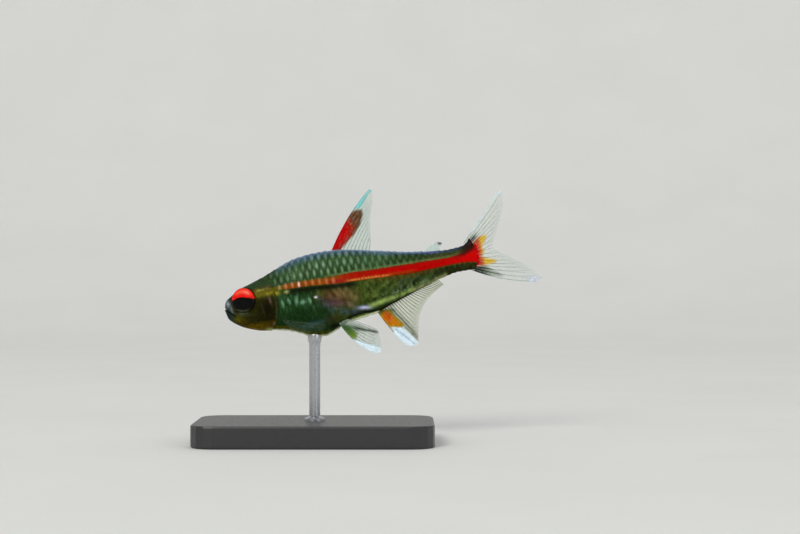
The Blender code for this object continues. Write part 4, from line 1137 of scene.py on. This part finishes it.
def inside(x, z, outline, soft=0.12):
    """1 inside a closed outline in side view, fading to 0 across its edge."""
    closed = outline + outline[:1]
    held = np.zeros(np.shape(x), bool)
    for (x0, z0), (x1, z1) in zip(closed, closed[1:]):
        if z0 != z1:
            held ^= ((z0 > z) != (z1 > z)) & (x < x0 + (z - z0) / (z1 - z0) * (x1 - x0))
    distance = line_distance(x, z, closed)[0]
    return ease(-soft, soft, np.where(held, distance, -distance))


def plain_tint(u, film=CLEAR_FILM, cover=0.15):
    """(tint, cover) of clear film, which the tints below start from."""
    return filled(film, u), cover + 0 * u


def dorsal_tint(x, z, u, v):
    """(tint, cover): colour of the fin and how much it hides, from 0 to 1."""
    tint, cover = plain_tint(u, FIN_TEAL, 0.20)
    patch, red = inside(x, z, DORSAL_PATCH, 0.22), inside(x, z, DORSAL_RED, 0.75)
    tip = inside(x, z, DORSAL_TIP, 0.14)
    tint = laid(laid(tint, laid(filled(FIN_BROWN, u), FIN_RED, red), patch), FIN_CYAN, tip)
    return tint, np.maximum.reduce([cover, patch * (0.94 + 0.06 * red), 0.85 * tip])


def anal_tint(x, z, u, v):
    tint, cover = plain_tint(u, FIN_VEIL, 0.26)
    patch, tip = inside(x, z, ANAL_PATCH, 0.1), inside(x, z, ANAL_TIP, 0.1)
    red = spot(x, z, (19.9, -4.9), (0.55, 0.8), 0.0)
    beside = line_distance(x, z, ANAL_LINE)[0]
    line, band = hump(beside, 0.27), hump(beside, 0.55)
    base = np.maximum(0.7 * ease(0.14, 0.04, u), spot(x, z, (20.5, -4.25), (0.8, 0.35), -35.0))
    heart = laid(filled(FIN_YELLOW, u), FIN_ORANGE, 0.1 + 0.9 * red)
    heart = laid(filled(FIN_LIME, u), heart, ease(0.45, 0.95, inside(x, z, ANAL_PATCH, 0.75)))
    tint = laid(laid(laid(tint, FIN_OLIVE, band), FIN_MOSS, line), heart, patch)
    blue = 0.5 * hump(line_distance(x, z, ANAL_STRIPE)[0], 0.13)
    white = laid(filled(FIN_WHITE, u), FIN_BLUE, blue)
    tint = laid(laid(tint, white, tip), FIN_MOSS, base)
    return tint, np.maximum.reduce([cover, patch, 0.97 * tip, 0.7 * line, 0.6 * band, 0.9 * base])


def pelvic_tint(x, z, u, v):
    tint, cover = plain_tint(u)
    green, tip = inside(x, z, PELVIC_GREEN, 0.3), inside(x, z, PELVIC_TIP, 0.14)
    line = hump(line_distance(x, z, PELVIC_LINE)[0], 0.16)
    shade = spot(x, z, (15.6, -5.6), (1.7, 0.5), -20.0)
    spread = laid(filled(FIN_SHADE, u), FIN_GREEN, ease(0.15, 0.45, u))
    tint = laid(laid(tint, FIN_SHADE, shade), spread, green)
    tint = laid(laid(tint, FIN_DARK, line), FIN_WHITE, tip)
    return tint, np.maximum.reduce([cover, 0.5 * shade, 0.85 * green, 0.97 * tip, 0.75 * line])


def caudal_tint(x, z, u, v):
    tint, cover = plain_tint(u)
    reach = x + 0.07 * (z - 0.5) ** 2
    band = within(z, -0.75, 1.7, 0.3)
    red, glow = ease(32.85, 32.65, reach) * band, ease(33.30, 33.0, reach) * band
    streak = inside(x, z, CAUDAL_STREAKS, 0.15)
    dark = spot(x, z, (32.25, 2.5), (0.95, 0.38), 40.0)
    root = ease(34.2, 32.4, x)
    tint, flares = laid(laid(tint, FIN_SHADE, streak), FIN_DARK, streak * root), 0.9 * glow
    for outline in CAUDAL_FLARES:
        flares = np.maximum(flares, inside(x + FLARE_COMB * np.sin(FLARE_TEETH * v), z, outline, 0.2))
    tint = laid(tint, laid(filled(FIN_ORANGE, u), FIN_AMBER, ease(32.8, 33.4, x)), flares)
    tint = laid(laid(tint, ROOT_BROWN, dark), STRIPE_END, red)
    return tint, np.maximum.reduce([cover, 0.92 * flares, 0.9 * dark, red, (0.45 + 0.45 * root) * streak])


def caudal_upper_tint(x, z, u, v):
    tint, cover = caudal_tint(x, z, u, v)
    lead = ease(0.07, 0.03, v) * ease(0.12, 0.25, u)
    tip = spot(x, z, (36.9, 7.75), (0.45, 0.45))
    white = np.maximum(0.8 * lead, tip)
    return laid(tint, FIN_WHITE, white), np.maximum(cover, 0.75 * white)


def caudal_lower_tint(x, z, u, v):
    tint, cover = caudal_tint(x, z, u, v)
    tip = ease(36.4, 39.0, x) * ease(0.72, 0.94, v) * (0.55 + 0.45 * mottle(x, z, 0.35))
    return laid(tint, FIN_ICE, tip), np.maximum(cover, 0.8 * tip)


def adipose_tint(x, z, u, v):
    tint, cover = plain_tint(u)
    tip = np.minimum(1.5 * spot(x, z, (28.15, 2.80), (0.42, 0.24)), 1.0)
    return laid(laid(tint, FIN_CYAN, 0.4 + 0 * u), FIN_DARK, tip), np.maximum(cover + 0.30, 0.9 * tip)


def pectoral_tint(x, z, u, v):
    tint, cover = plain_tint(u)
    return laid(tint, BELLY_BRIGHT, 0.6 + 0 * u), 0.5 * cover


def make_fin(name, at, rays, tint_of, thick=1.0, ray_colour=CLEAR_RAY, ray_cover=0.24):
    """One fin as two pieces: the film, which stands for the solid, and the rays in it."""
    points, u, v, rows, columns = membrane(at, rays)
    tint, cover = tint_of(points[:, 0], points[:, 2], u, v)
    edge = 1 - EDGE_FADE * ease(EDGE_FADES_FROM, 1.0, u)
    made_piece(name + "_film", points, [grid_faces(rows, columns)], {"tint": tint, "cover": cover * edge},
               finishes["film"], (name,))
    if rays < FEW_RAYS:
        return
    points, quads, u, v = ray_tubes(at, rays, thick)
    tint, cover = tint_of(points[:, 0], points[:, 2], u, v)
    tint = laid(tint, ray_colour, 0.85 * ease(0.5, 0.25, cover))
    length = u * np.linalg.norm(at(np.ones_like(v), v) - at(np.zeros_like(v), v), axis=-1)
    cover = np.minimum(RAY_COVER_SHARE * cover + ray_cover, 1.0)
    made_piece(name + "_rays", points, [quads], {"tint": tint, "cover": cover, "along": length},
               finishes["ray"])


def make_fins():
    make_fin("dorsal_fin", unpaired_surface(DORSAL, back_at, True), DORSAL["rays"], dorsal_tint)
    make_fin("adipose_fin", unpaired_surface(ADIPOSE, back_at, True), ADIPOSE["rays"], adipose_tint, 0.5)
    make_fin("anal_fin", unpaired_surface(ANAL, belly_at, False), ANAL["rays"], anal_tint, 0.8, FIN_OLIVE)
    make_fin("caudal_fin_upper", caudal_surface(CAUDAL_UPPER), CAUDAL_UPPER["rays"], caudal_upper_tint)
    make_fin("caudal_fin_lower", caudal_surface(CAUDAL_LOWER), CAUDAL_LOWER["rays"], caudal_lower_tint)
    for side, word in ((-1, "left"), (1, "right")):
        pectoral, pelvic = paired_surface(PECTORAL, side), paired_surface(PELVIC, side)
        make_fin("pectoral_fin_" + word, pectoral, PECTORAL["rays"], pectoral_tint, 0.55, BELLY_BRIGHT, 0.25)
        make_fin("pelvic_fin_" + word, pelvic, PELVIC["rays"], pelvic_tint, 0.7, CLEAR_RAY, 0.2)


# Eyes

EYE_PROFILE = [
    (0.0, EYE_FRONT), (0.54, 0.44), (1.03, 0.36), (1.41, 0.22), (EYE_RADIUS, 0.06), (1.46, -0.16),
    (1.22, -0.40), (0.73, -0.56), (0.0, -EYE_BACK),
]
EYE_RINGS, EYE_SEGMENTS = 40, 72
PUPIL_RADIUS, PUPIL_DROP, PUPIL_STRETCH = 0.80, 0.44, 1.7
RED_EDGE, RED_SLOPE, RED_CURVE = 0.28, 0.11, -0.087
IRIS_RED, IRIS_BRIGHT, IRIS_HIGHLIGHT = seen(0.82, 0.02, 0.02), seen(1.0, 0.13, 0.08), seen(1.0, 0.42, 0.30)
IRIS_DARK, IRIS_OLIVE, PUPIL_BLACK = seen(0.05, 0.055, 0.03), seen(0.24, 0.25, 0.17), (0.001, 0.001, 0.001)


def make_eye(side, word, finish):
    """Eyeball turned about its axis, with places on it stored in millimetres."""
    centre, axis = eye_frame(side)
    turn = radians(PITCH_DEG)
    up = np.array([sin(turn), 0.0, cos(turn)])
    up = up - axis * (up @ axis)
    up /= np.linalg.norm(up)
    forward = np.cross(up, axis) if side < 0 else np.cross(axis, up)
    profile = [(-EYE_PROFILE[1][0], EYE_PROFILE[1][1]), *EYE_PROFILE]
    r, h = (smooth([(k - 1, point[i]) for k, point in enumerate(profile)]) for i in (0, 1))
    t = np.linspace(0.01, len(EYE_PROFILE) - 1.01, EYE_RINGS)
    theta = full_turn(EYE_SEGMENTS)
    local_x = r(t)[:, None] * np.cos(theta)
    local_z = r(t)[:, None] * np.sin(theta)
    points = (
        centre + local_x[..., None] * forward + local_z[..., None] * up
        + (h(t)[:, None] + 0 * local_x)[..., None] * axis
    )
    place = np.stack([local_x, local_z, h(t)[:, None] + 0 * local_x], -1)
    faces = [grid_faces(EYE_RINGS, EYE_SEGMENTS, True), *end_rings(EYE_RINGS, EYE_SEGMENTS)]
    made_piece("eyeball_" + word, points.reshape(-1, 3), faces,
               {"place": place.reshape(-1, 3)}, finish, ("eye_" + word,))


# Materials

class Shader:
    """A Principled material whose sockets are fed by a few kinds of node."""

    def __init__(self, name, **values):
        self.material = bpy.data.materials.new(name)
        self.material.use_nodes = True
        self.tree = self.material.node_tree
        self.shader = self.tree.nodes["Principled BSDF"]
        for socket, value in values.items():
            self.shader.inputs[socket.replace("_", " ")].default_value = value

    def node(self, kind, inputs=(), **settings):
        made = self.tree.nodes.new(kind)
        for key, value in settings.items():
            setattr(made, key, value)
        for key, value in dict(inputs).items():
            self.feed(made.inputs[key], value)
        return made

    def feed(self, socket, value):
        if isinstance(value, bpy.types.NodeSocket):
            self.tree.links.new(value, socket)
        else:
            socket.default_value = value

    def put(self, socket, value):
        self.feed(self.shader.inputs[socket], value)

    def attribute(self, name, output="Color"):
        return self.node("ShaderNodeAttribute", attribute_name=name).outputs[output]

    def sum(self, operation, a, b=0.0, c=0.0):
        return self.node("ShaderNodeMath", {0: a, 1: b, 2: c}, operation=operation).outputs[0]

    def step(self, value, low, high, to_low=0.0, to_high=1.0):
        inputs = {"Value": value, "From Min": low, "From Max": high, "To Min": to_low, "To Max": to_high}
        return self.node("ShaderNodeMapRange", inputs, interpolation_type="SMOOTHSTEP").outputs["Result"]

    def mix(self, factor, a, b, blend="MIX"):
        made = self.node("ShaderNodeMix", data_type="RGBA", blend_type=blend)
        self.feed(made.inputs[0], factor)
        self.feed(made.inputs[6], a if isinstance(a, bpy.types.NodeSocket) else (*a, 1.0))
        self.feed(made.inputs[7], b if isinstance(b, bpy.types.NodeSocket) else (*b, 1.0))
        return made.outputs[2]

    def noise(self, size_mm, detail=3.0, vector=None, roughness=0.5):
        """Noise with features of about this size, over the object unless a vector is given."""
        vector = vector or self.node("ShaderNodeTexCoord").outputs["Object"]
        inputs = {"Vector": vector, "Scale": 1 / (size_mm * MM), "Detail": detail, "Roughness": roughness}
        return self.node("ShaderNodeTexNoise", inputs).outputs["Fac"]

    def uneven(self, size_mm, low, high):
        """Noise that runs between low and high."""
        return self.step(self.noise(size_mm), 0.3, 0.7, low, high)

    def cells(self, size_mm):
        vector = self.node("ShaderNodeTexCoord").outputs["Object"]
        inputs = {"Vector": vector, "Scale": 1 / (size_mm * MM)}
        return self.node("ShaderNodeTexVoronoi", inputs).outputs["Distance"]

    def bump(self, height, depth_mm):
        inputs = {"Height": height, "Distance": depth_mm * MM, "Strength": 1.0}
        return self.node("ShaderNodeBump", inputs).outputs["Normal"]


def varied(s, colour, size_mm, low, high):
    """Colour times a soft noise between low and high."""
    factor = s.uneven(size_mm, low, high)
    grey = s.node("ShaderNodeCombineColor", {"Red": factor, "Green": factor, "Blue": factor}).outputs[0]
    return s.mix(1.0, colour, grey, "MULTIPLY")


def in_stripe(s, colour, red):
    """Lays the stripe's colour over another, with a slightly uneven edge."""
    edge = s.sum("ADD", s.attribute("stripe", "Fac"), s.uneven(0.25, -0.05, 0.05))
    return s.mix(s.step(edge, -0.05, 0.06), colour, red)


WET_SKIN = {
    "IOR": 1.36, "Coat_Weight": 0.07, "Coat_Roughness": 0.25, "Coat_IOR": 1.3, "Specular_IOR_Level": 0.04,
}


def skin_material():
    s = Shader("skin", **WET_SKIN)
    colour = varied(s, varied(s, s.attribute("ground"), 0.35, 0.74, 1.26), 1.3, 0.85, 1.15)
    specks = s.step(s.cells(0.11), 0.22, 0.34)
    colour = s.mix(s.sum("MULTIPLY", s.sum("SUBTRACT", 1.0, specks), 0.45), colour, NEAR_BLACK)
    s.put("Base Color", in_stripe(s, colour, s.attribute("red")))
    s.put("Roughness", s.uneven(0.2, 0.38, 0.55))
    height = s.sum("ADD", s.noise(0.12, 4.0), s.sum("MULTIPLY", s.cells(0.22), 0.6))
    s.put("Normal", s.bump(height, 0.012))
    return s.material


def scale_material():
    s = Shader("scales", **WET_SKIN)
    place = s.attribute("scale_place", "Vector")
    parts = s.node("ShaderNodeSeparateXYZ", {0: place}).outputs
    dx = s.sum("DIVIDE", parts[0], s.step(parts[2], 0.0, 1.0, 0.85 * BRIGHT_LENGTH, 1.2 * BRIGHT_LENGTH))
    dz = s.sum("DIVIDE", parts[1], BRIGHT_HEIGHT)
    distance = s.sum("SQRT", s.sum("ADD", s.sum("MULTIPLY", dx, dx), s.sum("MULTIPLY", dz, dz)))
    distance = s.sum("ADD", distance, s.uneven(0.16, -0.12, 0.12))
    middle = s.step(distance, 1.45, 0.15)
    shown = s.sum("MULTIPLY", middle, s.attribute("shine", "Fac"))
    gap = s.sum("MULTIPLY", s.step(s.sum("ABSOLUTE", parts[0]), 0.22, 0.40), s.attribute("shine", "Fac"))
    ground = varied(s, varied(s, s.attribute("ground"), 0.3, 0.75, 1.25), 1.3, 0.85, 1.15)
    ground = s.mix(s.sum("MULTIPLY", gap, 0.45), ground, DARK_LINE)
    bright = s.attribute("bright")
    colour = s.mix(shown, ground, bright)
    red = s.mix(shown, varied(s, s.attribute("red"), 0.4, 0.86, 1.12), bright)
    s.put("Base Color", in_stripe(s, colour, red))
    s.put("Metallic", s.sum("MULTIPLY", shown, 0.35))
    s.put("Roughness", s.step(shown, 0.0, 1.0, 0.50, 0.34))
    rings = s.sum("SINE", s.sum("MULTIPLY", distance, 30.0))
    height = s.sum("ADD", s.sum("MULTIPLY", rings, 0.12), s.noise(0.12, 2.0))
    s.put("Normal", s.bump(height, 0.005))
    return s.material


def film_material():
    s = Shader("fin_film", Roughness=0.32, IOR=1.38, Specular_IOR_Level=0.07)
    s.put("Base Color", varied(s, s.attribute("tint"), 0.4, 0.85, 1.12))
    flecks = s.step(s.noise(0.3, 4.0), 0.35, 0.7, -0.05, 0.06)
    s.put("Alpha", s.sum("ADD", s.attribute("cover", "Fac"), flecks))
    s.put("Normal", s.bump(s.noise(0.25, 3.0), 0.02))
    return s.material


def ray_material():
    """Rays with fine joints across them."""
    s = Shader("fin_rays", Roughness=0.38, IOR=1.45, Specular_IOR_Level=0.12)
    joint = s.sum("FRACT", s.sum("DIVIDE", s.attribute("along", "Fac"), JOINT_SPACING))
    ring = s.step(s.sum("ABSOLUTE", s.sum("SUBTRACT", joint, 0.5)), 0.36, 0.46)
    colour = varied(s, s.attribute("tint"), 0.25, 0.78, 1.15)
    s.put("Base Color", s.mix(s.sum("MULTIPLY", ring, 0.35), colour, NEAR_BLACK))
    s.put("Alpha", s.attribute("cover", "Fac"))
    s.put("Normal", s.bump(s.sum("ADD", s.noise(0.1, 2.0), ring), 0.012))
    return s.material


def eye_material():
    """Red above and nearly black below a gently curved edge, with a round pupil under the middle and a
    painted highlight on the red.
    """
    gloss = {"Coat_Weight": 0.35, "Coat_Roughness": 0.10, "Coat_IOR": 1.22}
    s = Shader("eye", Roughness=0.3, Specular_IOR_Level=0.05, **gloss)
    parts = s.node("ShaderNodeSeparateXYZ", {0: s.attribute("place", "Vector")}).outputs
    fore, up = parts[0], parts[1]
    low = s.sum("ADD", up, PUPIL_DROP)
    wide = s.sum("DIVIDE", fore, PUPIL_STRETCH)
    pupil = s.sum("SQRT", s.sum("MULTIPLY_ADD", wide, wide, s.sum("MULTIPLY", low, low)))
    rim = s.sum("SQRT", s.sum("MULTIPLY_ADD", fore, fore, s.sum("MULTIPLY", up, up)))
    around = s.sum("ARCTAN2", low, fore)
    spokes = {0: s.sum("MULTIPLY", around, 0.0012), 1: s.sum("MULTIPLY", pupil, 8e-5)}
    streaks = s.noise(0.05, 3.0, s.node("ShaderNodeCombineXYZ", spokes).outputs[0])
    red = s.mix(s.step(streaks, 0.3, 0.8), IRIS_RED, IRIS_BRIGHT)
    # Painted highlight: orange-pink light over the red, strongest halfway to the rim and towards the top.
    glow = s.step(s.sum("ABSOLUTE", s.sum("SUBTRACT", rim, 1.05)), 0.5, 0.0, 0.0, 0.6)
    red = s.mix(s.sum("MULTIPLY", glow, s.step(up, 0.3, 1.0)), red, IRIS_HIGHLIGHT)
    olive = s.sum("ADD", s.step(up, -0.95, -1.35), s.step(streaks, 0.4, 0.75, -0.25, 0.25))
    lower = s.mix(s.sum("MINIMUM", s.sum("MAXIMUM", olive, 0.0), 1.0), IRIS_DARK, IRIS_OLIVE)
    curve = s.sum("MULTIPLY_ADD", s.sum("MULTIPLY", fore, fore), RED_CURVE, RED_EDGE)
    edge = s.sum("SUBTRACT", up, s.sum("MULTIPLY_ADD", fore, RED_SLOPE, curve))
    edge = s.sum("ADD", edge, s.step(streaks, 0.2, 0.8, -0.06, 0.06))
    colour = s.mix(s.step(edge, -0.10, 0.06), lower, red)
    colour = s.mix(s.step(rim, 1.46, 1.53), colour, NEAR_BLACK)
    s.put("Base Color", s.mix(s.step(pupil, PUPIL_RADIUS + 0.02, PUPIL_RADIUS - 0.03), colour, PUPIL_BLACK))
    return s.material


def base_material():
    s = Shader("stand_base_lacquer", Coat_Weight=0.25, Coat_Roughness=0.25)
    grain = s.noise(0.6, 6.0, roughness=0.65)
    s.put("Base Color", s.mix(grain, seen(0.11, 0.11, 0.12), seen(0.16, 0.16, 0.17)))
    s.put("Roughness", s.step(grain, 0.3, 0.7, 0.44, 0.52))
    s.put("Normal", s.bump(s.noise(0.12, 4.0), 0.01))
    return s.material


def rod_material():
    s = Shader("stand_rod_steel", Metallic=1.0)
    position = s.node("ShaderNodeTexCoord").outputs["Object"]
    turned = s.node("ShaderNodeMapping", {"Vector": position, "Scale": (1.0, 1.0, 14.0)}).outputs[0]
    lines = s.noise(0.35, 4.0, turned)
    s.put("Base Color", s.mix(lines, seen(0.62, 0.63, 0.65), seen(0.80, 0.80, 0.82)))
    s.put("Roughness", s.step(lines, 0.3, 0.7, 0.22, 0.38))
    s.put("Normal", s.bump(lines, 0.006))
    return s.material


def floor_material():
    s = Shader("floor_paper", Roughness=0.85)
    s.put("Base Color", s.mix(s.noise(30.0, 3.0), (0.72, 0.72, 0.70), (0.78, 0.78, 0.76)))
    s.put("Normal", s.bump(s.noise(1.5, 4.0), 0.03))
    return s.material


# Stand

ROD_SEGMENTS = 48
# The rod from its foot to under the belly: (height over the base, radius)
ROD_FOOT = [(-0.1, 1.25), (0.25, 1.25), (0.42, 1.12), (0.50, 0.86), (0.62, ROD_RADIUS)]
ROD_HEAD = [(-1.2, ROD_RADIUS), (-0.75, 0.73), (-0.5, 0.84), (-0.15, 0.88), (0.45, 0.88), (0.7, 0.75)]


def make_stand(base, base_finish, rod_finish):
    """The base keeps its solid; a finer rod with a foot and a cup stands for the plain one."""
    base.data.materials.clear()
    base.data.materials.append(base_finish)
    belly = to_part(np.array([ROD_AT, 0.0, float(belly_at(ROD_AT))])) / MM
    profile = [(BASE_HEIGHT + h, r) for h, r in ROD_FOOT] + [(belly[2] + h, r) for h, r in ROD_HEAD]
    theta = full_turn(ROD_SEGMENTS)
    rings = np.array([
        np.stack([belly[0] + r * np.cos(theta), r * np.sin(theta), h + 0 * theta], -1) for h, r in profile
    ])
    faces = [grid_faces(len(profile), ROD_SEGMENTS, True), *end_rings(len(profile), ROD_SEGMENTS)]
    mesh = smooth_mesh("rod_with_cup", rings.reshape(-1, 3) * MM, faces, rod_finish, 35)
    rod = added("rod_with_cup", mesh)
    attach(rod, "root")
    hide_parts("stand_rod")


# Stage, light and camera

# The photo's width and the fish's length in it, in pixels, and that length in life, in millimetres
IMAGE_WIDTH, FISH_PIXELS, FISH_LENGTH = 800, 318.0, 40.0
MM_PER_PIXEL = FISH_LENGTH / FISH_PIXELS
SNOUT_PIXEL, CENTRE_PIXEL = (225.5, 308.5), (400.0, 267.0)
LENS, SENSOR = 85.0, 36.0
# Round floor, in metres: its middle in y, flat radius, radius of its sweep, and the wall's height
DISH_MIDDLE, DISH_FLAT, DISH_SWEEP, WALL_TOP = -0.60, 0.90, 0.25, 0.80
DISH_SEGMENTS, SWEEP_STEPS = 96, 16
LIT_MIDDLE = (0.006, 0.0, 0.018)
SKY_COLOUR, SKY_STRENGTH = (0.94, 0.97, 1.0, 1.0), 0.42
# Lamps: (name, place, size, watts, colour)
LAMPS = [
    ("key", (-0.38, -0.85, 0.60), 0.40, 6.0, (1.0, 0.98, 0.95)),
    ("fill", (0.70, -0.70, 0.25), 0.60, 1.2, (0.94, 0.97, 1.0)),
    ("top", (0.15, 0.15, 0.95), 0.40, 1.3, (1.0, 1.0, 1.0)),
]


def make_floor(finish):
    """Pale round floor that sweeps up into a wall on all sides."""
    turn = np.linspace(0.0, pi / 2, SWEEP_STEPS + 1)
    reach = np.append(DISH_FLAT + DISH_SWEEP * np.sin(turn), DISH_FLAT + DISH_SWEEP)
    height = np.append(DISH_SWEEP * (1 - np.cos(turn)), WALL_TOP)
    around = full_turn(DISH_SEGMENTS)
    x, y = reach[:, None] * np.cos(around), DISH_MIDDLE + reach[:, None] * np.sin(around)
    points = np.stack([x, y, height[:, None] + 0 * around], -1)
    quads = grid_faces(len(reach), DISH_SEGMENTS, True)[:, ::-1]
    floor = added("floor", smooth_mesh(
        "floor", points.reshape(-1, 3), [quads, np.arange(DISH_SEGMENTS)[None]], finish))


def make_light(name, place, size, watts, colour):
    lamp = bpy.data.lights.new(name, "AREA")
    lamp.shape, lamp.size, lamp.energy, lamp.color = "DISK", size, watts, colour
    obj = added(name, lamp)
    obj.location = place
    aim = np.array(LIT_MIDDLE) - np.array(place)
    obj.rotation_euler = Vector(aim).to_track_quat("-Z", "Y").to_euler()


def light_scene():
    world = bpy.data.worlds.new("soft_room")
    bpy.context.scene.world = world
    world.use_nodes = True
    sky = world.node_tree.nodes["Background"]
    sky.inputs["Color"].default_value = SKY_COLOUR
    sky.inputs["Strength"].default_value = SKY_STRENGTH
    for lamp in LAMPS:
        make_light(*lamp)


def make_camera():
    snout = to_part(np.zeros(3))
    across = (CENTRE_PIXEL[0] - SNOUT_PIXEL[0]) * MM_PER_PIXEL * MM
    up = (SNOUT_PIXEL[1] - CENTRE_PIXEL[1]) * MM_PER_PIXEL * MM
    camera = bpy.data.cameras.new("camera")
    camera.lens, camera.sensor_width = LENS, SENSOR
    camera.clip_start, camera.clip_end = 0.01, 10.0
    obj = added("camera", camera)
    distance = LENS / SENSOR * IMAGE_WIDTH * MM_PER_PIXEL * MM
    obj.location = (snout[0] + across, -distance, snout[2] + up)
    obj.rotation_euler = (pi / 2, 0.0, 0.0)
    bpy.context.scene.camera = obj


bpy.ops.wm.read_factory_settings(use_empty=True)
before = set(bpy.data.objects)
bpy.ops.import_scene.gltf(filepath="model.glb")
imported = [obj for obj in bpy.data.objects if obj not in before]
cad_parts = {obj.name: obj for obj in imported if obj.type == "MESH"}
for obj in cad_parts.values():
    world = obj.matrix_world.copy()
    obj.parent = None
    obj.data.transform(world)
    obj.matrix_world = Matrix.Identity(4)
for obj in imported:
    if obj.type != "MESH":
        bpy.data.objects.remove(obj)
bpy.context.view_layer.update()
bpy.context.scene.view_settings.view_transform = "Standard"
finishes = {"film": film_material(), "ray": ray_material()}
make_skin(skin_material())
make_coat(scale_material())
eye_finish = eye_material()
make_eye(-1, "left", eye_finish)
make_eye(1, "right", eye_finish)
make_fins()
make_stand(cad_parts["stand_base"], base_material(), rod_material())
make_floor(floor_material())
light_scene()
make_camera()
